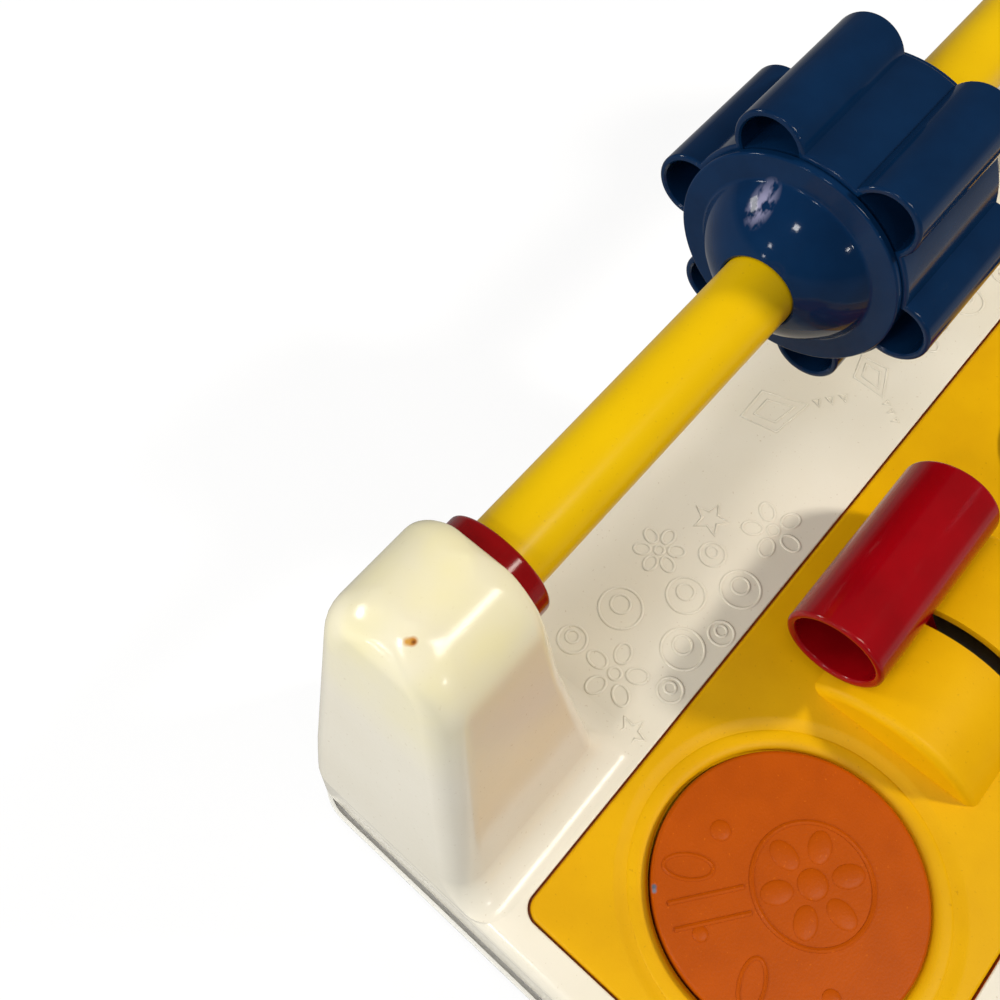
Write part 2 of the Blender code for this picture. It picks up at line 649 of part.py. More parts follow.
def arch_outline(radius, low):
    """Half-round outline about the lever's pivot, as (Y, Z) points, closed at a lower height."""
    reach = math.acos((low - PIVOT_Z) / radius)
    return arc((PANEL_Y, PIVOT_Z), radius, math.pi / 2 - reach, math.pi / 2 + reach, 4 * ARC_STEPS)


def hump(finish):
    """Solid arch over the lever's pivot, its end edges rounded."""
    half = HUMP_LENGTH / 2
    low = DECK_Z - PANEL_THICKNESS + SINK
    rings = []
    for end in (-1, 1):
        steps = range(EDGE_STEPS + 1)
        for step in steps if end < 0 else reversed(steps):
            angle = math.pi / 2 * step / EDGE_STEPS
            x = LEVER_X + end * (half - HUMP_ROUND + HUMP_ROUND * math.cos(angle))
            radius = HUMP_RADIUS - HUMP_ROUND + HUMP_ROUND * math.sin(angle)
            rings.append([(x, y, z) for y, z in arch_outline(radius, low)])
    return loft("hump", rings, finish)


def build_panel(finish):
    """Yellow panel: two dished wells, the lever's slotted hump with its ears, the button's hole."""
    half_x = PANEL_LENGTH / 2
    half_y = PANEL_DEPTH / 2
    bottom = DECK_Z - PANEL_THICKNESS
    rings = [at_height(box_outline((0, PANEL_Y), half_x, half_y, PANEL_CORNER_RADIUS), bottom)]
    for step in range(EDGE_STEPS + 1):
        angle = math.pi / 2 * step / EDGE_STEPS
        drawn = PANEL_EDGE_ROUND * (1 - math.cos(angle))
        height = DECK_Z - PANEL_EDGE_ROUND + PANEL_EDGE_ROUND * math.sin(angle)
        outline = box_outline((0, PANEL_Y), half_x - drawn, half_y - drawn, PANEL_CORNER_RADIUS - drawn)
        rings.append(at_height(outline, height))
    panel = loft("activity_panel", rings, finish)
    cup = DISC_RADIUS + WELL_CLEARANCE + WELL_FLOOR
    for side in (-1, 1):
        place = (side * STATION_X, PANEL_Y, 0)
        fuse(panel, cylinder("cup", cup, CUP_BOTTOM_Z, DECK_Z - SINK, finish, place, WIDE_SEGMENTS))
        post_place = (place[0], PANEL_Y - SPRING_POST_CIRCLE, 0)
        post_low = CUP_BOTTOM_Z - CLICK_WHEEL_THICKNESS - SINK
        fuse(panel, cylinder("spring_post", SPRING_POST_RADIUS, post_low, WELL_FLOOR_Z - SINK, finish,
                             post_place))
        cut(panel, turned("dish", dish_profile(), finish, WIDE_SEGMENTS, place))
    fuse(panel, hump(finish))
    inner_half = HUMP_LENGTH / 2 - HUMP_WALL
    inner = arch_outline(HUMP_RADIUS - HUMP_WALL, bottom - OVERRUN)
    cut(panel, extruded("inner", inner, LEVER_X - inner_half, LEVER_X + inner_half, finish, along="X"))
    slot_half = ARM_THICKNESS / 2 + SLOT_CLEARANCE
    slot_low = HUMP_RADIUS - HUMP_WALL - SINK
    swing = LEVER_REST + math.asin((ARM_WIDTH / 2 + SLOT_CLEARANCE) / slot_low)
    slot = arc((PANEL_Y, PIVOT_Z), HUMP_RADIUS + OVERRUN, math.pi / 2 - swing, math.pi / 2 + swing,
               2 * ARC_STEPS)
    slot += arc((PANEL_Y, PIVOT_Z), slot_low, math.pi / 2 + swing, math.pi / 2 - swing, 2 * ARC_STEPS)
    ear_inner = HUB_LENGTH / 2 + GAP
    ear_top = HUMP_RADIUS - HUMP_WALL + SINK
    spread = math.asin(EAR_TOP_WIDTH / 2 / ear_top)
    ear = arc((PANEL_Y, PIVOT_Z), ear_top, math.pi / 2 - spread, math.pi / 2 + spread, ARC_STEPS)
    ear += arc((PANEL_Y, PIVOT_Z), EAR_BOSS_RADIUS, math.pi, math.tau, 2 * ARC_STEPS)
    for side in (-1, 1):
        near = LEVER_X + side * ear_inner
        far = near + side * EAR_THICKNESS
        fuse(panel, extruded("ear", ear, min(near, far), max(near, far), finish, along="X"))
    cut(panel, extruded("slot", slot, LEVER_X - slot_half, LEVER_X + slot_half, finish, along="X"))
    pin_half = ear_inner + EAR_THICKNESS + OVERRUN
    cut(panel, cylinder("pin_hole", PIN_RADIUS + GAP, -pin_half, pin_half, finish,
                        (LEVER_X, PANEL_Y, PIVOT_Z), SMALL_SEGMENTS, 1))
    hole = BUTTON_RADIUS + GAP + BEZEL_WALL + GAP
    cut(panel, cylinder("button_hole", hole, bottom - OVERRUN, DECK_Z + OVERRUN, finish,
                        (BUTTON_X, PANEL_Y, 0), ROUND_SEGMENTS))
    for place in FRONT_SCREWS:
        add_boss(panel, finish, place, DECK_Z - SINK)
    smooth_again(panel)
    return panel


def click_wheel_outline():
    points = []
    for tooth in range(CLICK_TEETH):
        for share, radius in zip(NOTCH_SHARES, (CLICK_WHEEL_RADIUS - CLICK_NOTCH, CLICK_WHEEL_RADIUS)):
            angle = math.tau * (tooth + share) / CLICK_TEETH - math.pi / 2
            points.append((radius * math.cos(angle), radius * math.sin(angle)))
    return points


def click_spring(name, place, finish):
    """Steel strip that hugs the panel's spring post and reaches the wheel's notch."""
    hug = SPRING_POST_RADIUS + GAP + SPRING_STRIP / 2
    path = arc((0, -SPRING_POST_CIRCLE), hug, -math.pi / 2, SPRING_WRAP - math.pi / 2, 3 * ARC_STEPS)
    tip = CLICK_WHEEL_RADIUS + GAP + SPRING_STRIP
    path.append((SPRING_STRIP, -tip))
    left = []
    right = []
    for index, (x, y) in enumerate(path):
        before = Vector(path[max(index - 1, 0)])
        after = Vector(path[min(index + 1, len(path) - 1)])
        along = (after - before).normalized()
        half = SPRING_STRIP / 2
        left.append((x - along.y * half, y + along.x * half))
        right.append((x + along.y * half, y - along.x * half))
    top = CUP_BOTTOM_Z - GAP
    return extruded(name, left + right[::-1], top - SPRING_WIDTH, top, finish, place)


def build_turning_piece(name, x, finish, inner_finish, metal, knob=False):
    """A disc in its well, on a stem held below by a click wheel and a screw."""
    axis = axis_empty(name + "_axis", (x, PANEL_Y, DECK_Z))
    bottom = DISC_TOP_Z - DISC_THICKNESS - DECK_Z
    top = DISC_TOP_Z - DECK_Z
    shoulder = CUP_BOTTOM_Z - GAP / 2 - DECK_Z
    wheel_top = CUP_BOTTOM_Z - GAP - DECK_Z
    wheel_low = wheel_top - CLICK_WHEEL_THICKNESS
    tip = wheel_low - GAP
    pilot = SCREW_RADIUS + GAP
    edge = DISC_EDGE_ROUND
    profile = arc((DISC_RADIUS - edge, top - edge), edge, math.pi / 2, 0, EDGE_STEPS)
    profile += [(DISC_RADIUS, bottom), (STEM_RADIUS, bottom), (STEM_RADIUS, shoulder),
                (STEM_TIP_RADIUS, shoulder), (STEM_TIP_RADIUS, tip), (pilot, tip),
                (pilot, tip + PILOT_DEPTH)]
    disc = turned(name, profile, finish, WIDE_SEGMENTS, (0, 0, 0), 0, False, axis)
    if knob:
        outline = box_outline((0, 0), KNOB_LENGTH / 2, KNOB_WIDTH / 2, KNOB_WIDTH / 2 - SINK)
        drawn = box_outline((0, 0), KNOB_LENGTH / 2 - KNOB_ROUND, KNOB_WIDTH / 2 - KNOB_ROUND,
                            KNOB_WIDTH / 2 - SINK - KNOB_ROUND)
        high = top + KNOB_HEIGHT
        middle = KNOB_ROUND * (1 - math.cos(math.pi / 4))
        halfway = box_outline((0, 0), KNOB_LENGTH / 2 - middle, KNOB_WIDTH / 2 - middle,
                              KNOB_WIDTH / 2 - SINK - middle)
        rings = [at_height(outline, top - SINK), at_height(outline, high - KNOB_ROUND),
                 at_height(halfway, high - middle), at_height(drawn, high)]
        fuse(disc, loft("grip", rings, finish, (x, PANEL_Y, DECK_Z)))
        smooth_again(disc)
    wheel = extruded(name + "_click_wheel", click_wheel_outline(), wheel_low, wheel_top, inner_finish,
                     (0, 0, 0), parent=axis)
    cut(wheel, cylinder("wheel_bore", STEM_TIP_RADIUS + GAP, wheel_low - OVERRUN, wheel_top + OVERRUN,
                        inner_finish, (x, PANEL_Y, DECK_Z), ROUND_SEGMENTS // 2))
    head_top = tip - GAP
    screw = [(SCREW_RADIUS, tip + PILOT_DEPTH - GAP), (SCREW_RADIUS, head_top),
             (STEM_RADIUS, head_top), (STEM_RADIUS, head_top - SCREW_HEAD)]
    turned(name + "_screw", screw, metal, SMALL_SEGMENTS, (0, 0, 0), 0, False, axis)
    click_spring(name + "_click_spring", (x, PANEL_Y, 0), metal)


def build_lever(finish, metal):
    """Red grip tube on an arm that swings over the hump about a steel pin."""
    pivot = axis_empty("lever_pivot", (LEVER_X, PANEL_Y, PIVOT_Z))
    lean = math.pi / 2 - LEVER_REST

    def leaning(points):
        """Turns points given as (across, along) the arm into (Y, Z) at rest."""
        turned_points = []
        for across, along in points:
            turned_points.append((along * math.cos(lean) + across * math.sin(lean),
                                  along * math.sin(lean) - across * math.cos(lean)))
        return turned_points

    shoulder = LEVER_RADIUS - GRIP_RADIUS - GAP
    tenon_end = LEVER_RADIUS - GRIP_BORE_RADIUS
    blade = [(-ARM_WIDTH / 2, 0), (-ARM_WIDTH / 2, shoulder), (-TENON_WIDTH / 2, shoulder),
             (-TENON_WIDTH / 2, tenon_end), (TENON_WIDTH / 2, tenon_end), (TENON_WIDTH / 2, shoulder),
             (ARM_WIDTH / 2, shoulder), (ARM_WIDTH / 2, 0)]
    hub_low = -HUB_LENGTH / 2
    arm = turned("lever_arm", [(HUB_RADIUS, hub_low), (HUB_RADIUS, -hub_low)], finish,
                 ROUND_SEGMENTS // 2, (0, 0, 0), 1, False, pivot)
    place = (LEVER_X, PANEL_Y, PIVOT_Z)
    fuse(arm, extruded("blade", leaning(blade), -ARM_THICKNESS / 2, ARM_THICKNESS / 2, finish, place, "X"))
    cut(arm, cylinder("pin_bore", PIN_RADIUS + GAP, hub_low - OVERRUN, OVERRUN - hub_low, finish, place,
                      SMALL_SEGMENTS, 1))
    smooth_again(arm)
    (grip_y, grip_z), = leaning([(0, LEVER_RADIUS)])
    half = GRIP_LENGTH / 2
    grip = turned("grip_tube", ring_profile(GRIP_BORE_RADIUS, GRIP_RADIUS, -half, half, GRIP_EDGE_ROUND,
                                            GRIP_EDGE_ROUND),
                  finish, ROUND_SEGMENTS, (0, grip_y, grip_z), 1, True, pivot)
    slot = [(-TENON_WIDTH / 2 - GAP, shoulder - OVERRUN), (-TENON_WIDTH / 2 - GAP, tenon_end + OVERRUN),
            (TENON_WIDTH / 2 + GAP, tenon_end + OVERRUN), (TENON_WIDTH / 2 + GAP, shoulder - OVERRUN)]
    slot_half = ARM_THICKNESS / 2 + GAP
    cut(grip, extruded("tenon_slot", leaning(slot), -slot_half, slot_half, finish, place, "X"))
    smooth_again(grip)
    pin_half = HUB_LENGTH / 2 + GAP + EAR_THICKNESS + GAP
    pin = [(PIN_RADIUS, -pin_half), (PIN_RADIUS, pin_half), (PIN_HEAD_RADIUS, pin_half),
           (PIN_HEAD_RADIUS, pin_half + PIN_HEAD)]
    turned("lever_pin", pin, metal, SMALL_SEGMENTS, place, 1)


def build_button(button_finish, bezel_finish, rubber):
    """Squeaker button in its bezel, pushed back up by the bellows under it."""
    guide = axis_empty("button_guide", (BUTTON_X, PANEL_Y, DECK_Z))
    sleeve = BUTTON_RADIUS + GAP
    outer = sleeve + BEZEL_WALL
    sleeve_low = -PANEL_THICKNESS - SINK
    bezel = [(sleeve, sleeve_low), (outer, sleeve_low), (outer, GAP), (BEZEL_RADIUS, GAP)]
    bezel += arc((BEZEL_RADIUS - BEZEL_ROUND, BEZEL_HEIGHT / 2), BEZEL_ROUND, 0, math.pi / 2, EDGE_STEPS)
    bezel += [(outer, BEZEL_HEIGHT), (sleeve, BEZEL_HEIGHT)]
    turned("button_bezel", bezel, bezel_finish, ROUND_SEGMENTS, (BUTTON_X, PANEL_Y, DECK_Z), 0, True)
    flange_low = BUTTON_LOW_Z - DECK_Z
    flange_top = flange_low + BUTTON_FLANGE
    crown_radius = (BUTTON_RADIUS ** 2 + BUTTON_CROWN ** 2) / (2 * BUTTON_CROWN)
    crown_centre = BUTTON_HEIGHT - crown_radius
    spread = math.asin(BUTTON_RADIUS / crown_radius)
    profile = arc((0, crown_centre), crown_radius, math.pi / 2, math.pi / 2 - spread, ARC_STEPS)
    profile[0] = (0, BUTTON_HEIGHT)
    ceiling = BUTTON_HEIGHT - BUTTON_CROWN - BUTTON_WALL
    profile += [(BUTTON_RADIUS, flange_top), (outer, flange_top), (outer, flange_low),
                (BUTTON_RADIUS - BUTTON_WALL, flange_low), (BUTTON_RADIUS - BUTTON_WALL, ceiling)]
    turned("squeaker_button", profile, button_finish, ROUND_SEGMENTS, (0, 0, 0), 0, False, guide)
    low = FLOOR_TOP_Z + GAP
    high = DECK_Z + ceiling - GAP
    pitch = (high - low) / BELLOWS_FOLDS
    outside = []
    inside = []
    for fold in range(BELLOWS_FOLDS):
        base = low + fold * pitch
        outside += [(BELLOWS_RADIUS - BELLOWS_FOLD, base), (BELLOWS_RADIUS, base + pitch / 2)]
        inside += [(BELLOWS_RADIUS - BELLOWS_FOLD - BELLOWS_WALL, base),
                   (BELLOWS_RADIUS - BELLOWS_WALL, base + pitch / 2)]
    outside.append((BELLOWS_RADIUS - BELLOWS_FOLD, high))
    inside.append((BELLOWS_RADIUS - BELLOWS_FOLD - BELLOWS_WALL, high - BELLOWS_WALL))
    profile = outside + [(BELLOWS_VENT, high), (BELLOWS_VENT, high - BELLOWS_WALL)] + inside[::-1]
    turned("squeaker_bellows", profile, rubber, ROUND_SEGMENTS // 2, (BUTTON_X, PANEL_Y, 0), 0, True)


clear_scene()
IVORY = plastic("ivory_plastic", (0.83, 0.80, 0.70), 0.32)
YELLOW = plastic("yellow_plastic", (0.88, 0.50, 0.01), 0.30)
RED = plastic("red_plastic", (0.42, 0.004, 0.012), 0.22)
NAVY = plastic("navy_plastic", (0.008, 0.03, 0.12), 0.20)
ORANGE = plastic("orange_plastic", (0.52, 0.09, 0.008), 0.38)
WHITE = plastic("natural_plastic", (0.75, 0.74, 0.70), 0.45)
RUBBER = plastic("rubber", (0.03, 0.03, 0.03), 0.75)
STEEL = plastic("steel", (0.55, 0.55, 0.56), 0.30, 1.0)

build_shell(IVORY)
build_tray(IVORY)
build_feet(RUBBER)
build_screws(STEEL)
build_rod(YELLOW, RED, WHITE)
build_drum(NAVY, NAVY)
build_panel(YELLOW)
build_turning_piece("picture_disc", -STATION_X, ORANGE, WHITE, STEEL)
build_turning_piece("click_dial", STATION_X, NAVY, WHITE, STEEL, knob=True)
build_lever(RED, STEEL)
build_button(RED, NAVY, RUBBER)
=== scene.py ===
import math
import bpy
from mathutils import Matrix, Vector


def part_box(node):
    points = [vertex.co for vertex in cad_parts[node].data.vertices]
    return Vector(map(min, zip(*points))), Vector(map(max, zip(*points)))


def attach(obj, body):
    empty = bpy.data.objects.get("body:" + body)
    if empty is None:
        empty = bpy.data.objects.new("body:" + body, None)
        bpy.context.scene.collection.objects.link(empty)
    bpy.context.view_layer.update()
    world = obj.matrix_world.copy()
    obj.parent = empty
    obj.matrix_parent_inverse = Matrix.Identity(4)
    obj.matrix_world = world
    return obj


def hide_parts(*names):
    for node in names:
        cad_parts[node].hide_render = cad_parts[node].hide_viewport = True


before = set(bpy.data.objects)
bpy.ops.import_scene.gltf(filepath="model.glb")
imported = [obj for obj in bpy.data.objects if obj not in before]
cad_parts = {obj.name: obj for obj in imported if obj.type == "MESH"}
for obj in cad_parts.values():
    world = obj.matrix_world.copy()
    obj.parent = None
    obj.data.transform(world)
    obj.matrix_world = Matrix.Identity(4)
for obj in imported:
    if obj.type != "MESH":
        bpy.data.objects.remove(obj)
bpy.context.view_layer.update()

# Base tray: white styrene moulding that closes the toy from below. A shallow pan with a rounded
# rim, four foot seats and six screw holes; the lip that steps in at its top makes the groove.
BASE_LENGTH = 0.420
BASE_DEPTH = 0.200
CORNER_RADIUS = 0.016
SIDE_DRAFT = math.radians(12.6)
TRAY_LOW = 0.002
TRAY_HIGH = 0.010
SHELL_LOW = 0.012
RIM_ROUND = 0.003
RIM_EDGE = 0.0004
RIM_WIDTH = 0.0012
CHANNEL_WIDTH = 0.0014
CHANNEL_DEPTH = 0.0014
LIP_INSET = 0.0052
LIP_HIGH = 0.0165
PAN_FLOOR = 0.0045
PAN_WALL = 0.0055
FOOT_SEAT_RADIUS = 0.0083
FOOT_SEAT_DEPTH = 0.0012
SCREW_SEAT_RADIUS = 0.0037
SCREW_SEAT_HIGH = 0.0044
NEAR = 0.0001
CHANNEL_SHADE = 0.0003


def middle_of(name):
    """The middle of a CAD node's box."""
    low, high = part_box(name)
    return [(a + b) / 2 for a, b in zip(low, high)]


BASE_Y = middle_of("base_tray")[1]


def only(piece):
    """Object mode, with this piece alone selected and active."""
    if bpy.context.object and bpy.context.object.mode != "OBJECT":
        bpy.ops.object.mode_set(mode="OBJECT")
    bpy.ops.object.select_all(action="DESELECT")
    piece.select_set(True)
    bpy.context.view_layer.objects.active = piece


def named(name):
    """Names the primitive just added and settles its place into its mesh."""
    piece = bpy.context.object
    piece.name = name
    piece.data.name = name
    bpy.ops.object.transform_apply(location=True, rotation=True, scale=True)
    return piece


def block(name, low, high):
    """A box between two corners."""
    middle = [(a + b) / 2 for a, b in zip(low, high)]
    span = [b - a for a, b in zip(low, high)]
    bpy.ops.mesh.primitive_cube_add(size=1, location=middle)
    bpy.context.object.scale = span
    return named(name)


def pick_faces(piece, test):
    """Edit mode with the faces selected whose centre and normal pass the test."""
    only(piece)
    bpy.ops.object.mode_set(mode="EDIT")
    bpy.ops.mesh.select_mode(type="FACE")
    bpy.ops.mesh.select_all(action="DESELECT")
    bpy.ops.object.mode_set(mode="OBJECT")
    for face in piece.data.polygons:
        face.select = test(face.center, face.normal)
    bpy.ops.object.mode_set(mode="EDIT")


def pick_edges(piece, test):
    """Edit mode with the edges selected whose two ends pass the test."""
    only(piece)
    bpy.ops.object.mode_set(mode="EDIT")
    bpy.ops.mesh.select_mode(type="EDGE")
    bpy.ops.mesh.select_all(action="DESELECT")
    bpy.ops.object.mode_set(mode="OBJECT")
    points = piece.data.vertices
    for edge in piece.data.edges:
        edge.select = test(points[edge.vertices[0]].co, points[edge.vertices[1]].co)
    bpy.ops.object.mode_set(mode="EDIT")


def bevel_picked(width, steps):
    """Rounds the edges that pick_edges left selected."""
    bpy.ops.mesh.bevel(offset=width, segments=steps, profile=0.5, affect="EDGES")
    bpy.ops.object.mode_set(mode="OBJECT")


def upright(a, b):
    """An edge that runs up a side, drafted or not."""
    return abs(a.z - b.z) > 0.5 * (a - b).length


def level(height):
    """A test for edges that lie at one height."""
    return lambda a, b: abs(a.z - height) < 0.00002 and abs(b.z - height) < 0.00002


def disc_tool(name, radius, low, high, x, y, points=48):
    """An upright cylinder, to cut with or to add."""
    bpy.ops.mesh.primitive_cylinder_add(vertices=points, radius=radius, depth=high - low,
                                        location=(x, y, (low + high) / 2))
    return named(name)


def merge(piece, tool, way):
    """Cuts the tool out of the piece, or adds it, and removes the tool."""
    only(piece)
    step = piece.modifiers.new(way.title(), "BOOLEAN")
    step.operation = way
    step.solver = "MANIFOLD"
    step.object = tool
    bpy.ops.object.modifier_apply(modifier=step.name)
    bpy.data.objects.remove(tool, do_unlink=True)


def shade(piece, degrees=35):
    """Smooth rounds, crisp edges, and flat faces that stay flat."""
    only(piece)
    bpy.ops.object.shade_smooth_by_angle(angle=math.radians(degrees))
    step = piece.modifiers.new("Weighted", "WEIGHTED_NORMAL")
    step.keep_sharp = True
    step.weight = 50
    bpy.ops.object.modifier_apply(modifier=step.name)


def rounded_block(name, low, high, radius, steps=12):
    """A box between two corners, its upright edges rounded."""
    piece = block(name, low, high)
    pick_edges(piece, upright)
    bevel_picked(radius, steps)
    return piece


def plate(name, reach_x, middle_y, reach_y, low, high, radius, steps=12):
    """A rounded block that lies across the middle of the toy."""
    return rounded_block(name, (-reach_x, middle_y - reach_y, low), (reach_x, middle_y + reach_y, high),
                         radius, steps)


def drafted(piece, low, high, inset):
    """Draws the top of a block in, so its sides lean like a mould's."""
    for point in piece.data.vertices:
        share = (point.co.z - low) / (high - low)
        point.co.x -= math.copysign(inset * share, point.co.x)
        point.co.y -= math.copysign(inset * share, point.co.y - BASE_Y)


half_x = BASE_LENGTH / 2
half_y = BASE_DEPTH / 2
tray = plate("base_tray_moulding", half_x, BASE_Y, half_y, TRAY_LOW, TRAY_HIGH, CORNER_RADIUS)
pick_edges(tray, level(TRAY_LOW))
bevel_picked(RIM_ROUND, 6)
pick_edges(tray, level(TRAY_HIGH))
bevel_picked(RIM_EDGE, 2)
pick_faces(tray, lambda centre, normal: normal.z > 0.99 and centre.z > TRAY_HIGH - NEAR)
bpy.ops.mesh.inset(thickness=RIM_WIDTH - RIM_EDGE)
bpy.ops.mesh.extrude_region_move(TRANSFORM_OT_translate={"value": (0, 0, -CHANNEL_DEPTH)})
bpy.ops.mesh.inset(thickness=CHANNEL_WIDTH)
bpy.ops.mesh.extrude_region_move(TRANSFORM_OT_translate={"value": (0, 0, CHANNEL_DEPTH)})
bpy.ops.object.mode_set(mode="OBJECT")
lip = plate("lip", half_x - LIP_INSET, BASE_Y, half_y - LIP_INSET, TRAY_HIGH - RIM_EDGE, LIP_HIGH,
            CORNER_RADIUS - LIP_INSET)
drafted(lip, SHELL_LOW, LIP_HIGH, (LIP_HIGH - SHELL_LOW) * math.tan(SIDE_DRAFT))
merge(tray, lip, "UNION")
pan_inset = PAN_WALL + LIP_INSET
pan = plate("pan", half_x - pan_inset, BASE_Y, half_y - pan_inset, PAN_FLOOR, LIP_HIGH + RIM_ROUND,
            CORNER_RADIUS - PAN_WALL)
merge(tray, pan, "DIFFERENCE")
seats = [(f"rubber_foot_{number}", FOOT_SEAT_RADIUS, TRAY_LOW + FOOT_SEAT_DEPTH) for number in range(1, 5)]
seats += [(f"base_screw_{number}", SCREW_SEAT_RADIUS, SCREW_SEAT_HIGH) for number in range(1, 7)]
for fitted, radius, high in seats:
    merge(tray, disc_tool("seat", radius, 0, high, *middle_of(fitted)[:2]), "DIFFERENCE")
shade(tray)


def fill(made, sockets):
    """Fills a node's inputs, each with a value or with another node's output."""
    for key, value in sockets.items():
        if isinstance(value, bpy.types.NodeSocket):
            made.id_data.links.new(value, made.inputs[key])
        else:
            made.inputs[key].default_value = value


def node(tree, kind, sockets=None, **values):
    """Adds a shader node, in the next place of a grid, and fills its inputs."""
    made = tree.nodes.new("ShaderNode" + kind)
    count = len(tree.nodes)
    made.location = (-400 - 200 * (count // 6), 600 - 200 * (count % 6))
    for key, value in values.items():
        setattr(made, key, value)
    fill(made, sockets or {})
    return made


def maths(tree, operation, *terms, clamp=False):
    """What a maths node makes of values or of other nodes' outputs."""
    made = node(tree, "Math", dict(enumerate(terms)), operation=operation, use_clamp=clamp)
    return made.outputs["Value"]


def noise(tree, where, scale, detail=2):
    """A noise over the places given."""
    return node(tree, "TexNoise", {"Vector": where, "Scale": scale, "Detail": detail}).outputs["Fac"]


def ranged(tree, value, low, high, to_low=0, to_high=1):
    """A value taken from one range to another and kept inside it."""
    made = node(tree, "MapRange", {"Value": value, "From Min": low, "From Max": high,
                                   "To Min": to_low, "To Max": to_high})
    return made.outputs["Result"]


def blend_in(material, colour, factor):
    """Lays one more colour over a material's own, as strong as the factor says."""
    base = material.node_tree.nodes["Principled BSDF"].inputs["Base Color"]
    over = node(material.node_tree, "Mix", {"A": base.links[0].from_socket, "B": (*colour, 1),
                                            "Factor": factor}, data_type="RGBA")
    material.node_tree.links.new(over.outputs["Result"], base)


def sunk_in(material, middle_y, reach_x, reach_y, top):
    """A factor that is 1 inside a low box round the frame's middle and 0 outside it."""
    tree = material.node_tree
    moved = node(tree, "Mapping", {"Vector": node(tree, "TexCoord").outputs["Object"],
                                   "Location": (0, -middle_y, 0)})
    away = node(tree, "VectorMath", {0: moved.outputs["Vector"]}, operation="ABSOLUTE")
    apart = node(tree, "SeparateXYZ", {"Vector": away.outputs["Vector"]})
    factor = 1.0
    for axis, limit in (("X", reach_x), ("Y", reach_y), ("Z", top)):
        factor = maths(tree, "MULTIPLY", factor, maths(tree, "LESS_THAN", apart.outputs[axis], limit))
    return factor


def moulded(name, colour, deeper, rough, mottle=45, mottle_share=0.35, grain=0.05, grain_size=1100,
            scratch=0.10, specular=0.30, fleck=None, fleck_share=0.0):
    """A moulded plastic: slow colour drift, fine surface grain, and hairline scratches that show in
    the gloss. fleck adds sparse specks of another colour."""
    material = bpy.data.materials.new(name)
    material.use_nodes = True
    tree = material.node_tree
    shader = tree.nodes["Principled BSDF"]
    where = node(tree, "TexCoord").outputs["Object"]
    drift = ranged(tree, noise(tree, where, mottle, 4), 0.35, 0.70, 0, mottle_share)
    tint = node(tree, "Mix", {"A": (*colour, 1), "B": (*deeper, 1), "Factor": drift}, data_type="RGBA")
    fill(shader, {"Base Color": tint.outputs["Result"], "Specular IOR Level": specular})
    if fleck:
        blend_in(material, fleck, ranged(tree, noise(tree, where, 900, 1), 0.70, 0.80, 0, fleck_share))
    turn = node(tree, "Mapping", {"Vector": where, "Rotation": (0.4, 0.3, 0.9), "Scale": (60, 1400, 900)})
    hair = ranged(tree, noise(tree, turn.outputs["Vector"], 1), 0.62, 0.72, rough, rough + scratch)
    bump = node(tree, "Bump", {"Strength": grain, "Distance": 0.0002,
                               "Height": noise(tree, where, grain_size, 3)})
    fill(shader, {"Roughness": hair, "Normal": bump.outputs["Normal"]})
    return material


def dress(piece, material, body, slot, *nodes):
    """Gives a finished piece its material, its body and the nodes it stands for."""
    piece.data.materials.clear()
    piece.data.materials.append(material)
    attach(piece, body)
    if nodes:
        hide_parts(*nodes)


tray_white = moulded("tray_white", (0.86, 0.85, 0.80), (0.74, 0.71, 0.62), 0.34, fleck=(0.30, 0.22, 0.12),
                     fleck_share=0.3)
# The channel, and the pan inside the rim below its top, are painted grey: painted shade in the parting
# groove.
channel_edge = RIM_WIDTH - NEAR
blend_in(tray_white, (0.60, 0.59, 0.57), sunk_in(
    tray_white, BASE_Y, half_x - channel_edge, half_y - channel_edge, TRAY_HIGH - CHANNEL_SHADE))
dress(tray, tray_white, "base", "ivory_shell", "base_tray")

# Top shell: one ivory styrene moulding, glossy, and tinted on the crowns of its posts: partly yellowing,
# partly painted light on the lit tops. Drafted sides, a rounded deck edge, two arched posts with filleted
# feet, and a stepped panel opening.
DECK = 0.030
DECK_EDGE = 0.004
SHELL_WALL = 0.003
POST_FOOT_LENGTH = 0.060
POST_ARCH = 0.0219
POST_FLARE = math.radians(11)
POST_BACK_FLARE = math.radians(3)
POST_LEAN = math.radians(5)
POST_STRAIGHT = 0.020
POST_INNER_ROUND = 0.005
POST_OUTER_ROUND = 0.009
FOOT_FILLET = 0.010
POST_BACK_BLEND = 1.6
CORNER_STEPS = 8
CROWN_STEPS = 22
PANEL_LENGTH = 0.3894
PANEL_DEPTH = 0.106
PANEL_CORNER = 0.005
PANEL_GAP = 0.0004
LEDGE = 0.004
LEDGE_WALL = 0.002
LEDGE_CORNER = 0.005
OVERLAP = 0.0003
OPENING_ROUND = 0.0005
SIDE_SETBACK = 0.0002
SLIVER = 0.00001
BITE = 0.001
ROD_Y, ROD_Z = middle_of("handle_rod")[1:]
ROD_TO_PANEL = 0.0501
PANEL_Y = ROD_Y - ROD_TO_PANEL - PANEL_DEPTH / 2
POST_FACE = BASE_LENGTH / 2 - POST_FOOT_LENGTH
SHELL_INSET = 0.0024
deck_inset = (DECK - SHELL_LOW) * math.tan(SIDE_DRAFT)


def draw_in(radius, distance):
    """How far a rounded edge stands back at a distance from the face it runs into."""
    if distance >= radius:
        return 0.0
    return radius - math.sqrt(radius ** 2 - (radius - max(distance, 0.0)) ** 2)


def arc_points(middle, radius, start, end, steps):
    """Points on an arc between two angles in degrees, both ends included."""
    angles = [math.radians(start + (end - start) * step / steps) for step in range(steps + 1)]
    return [(middle[0] + radius * math.cos(angle), middle[1] + radius * math.sin(angle)) for angle in angles]


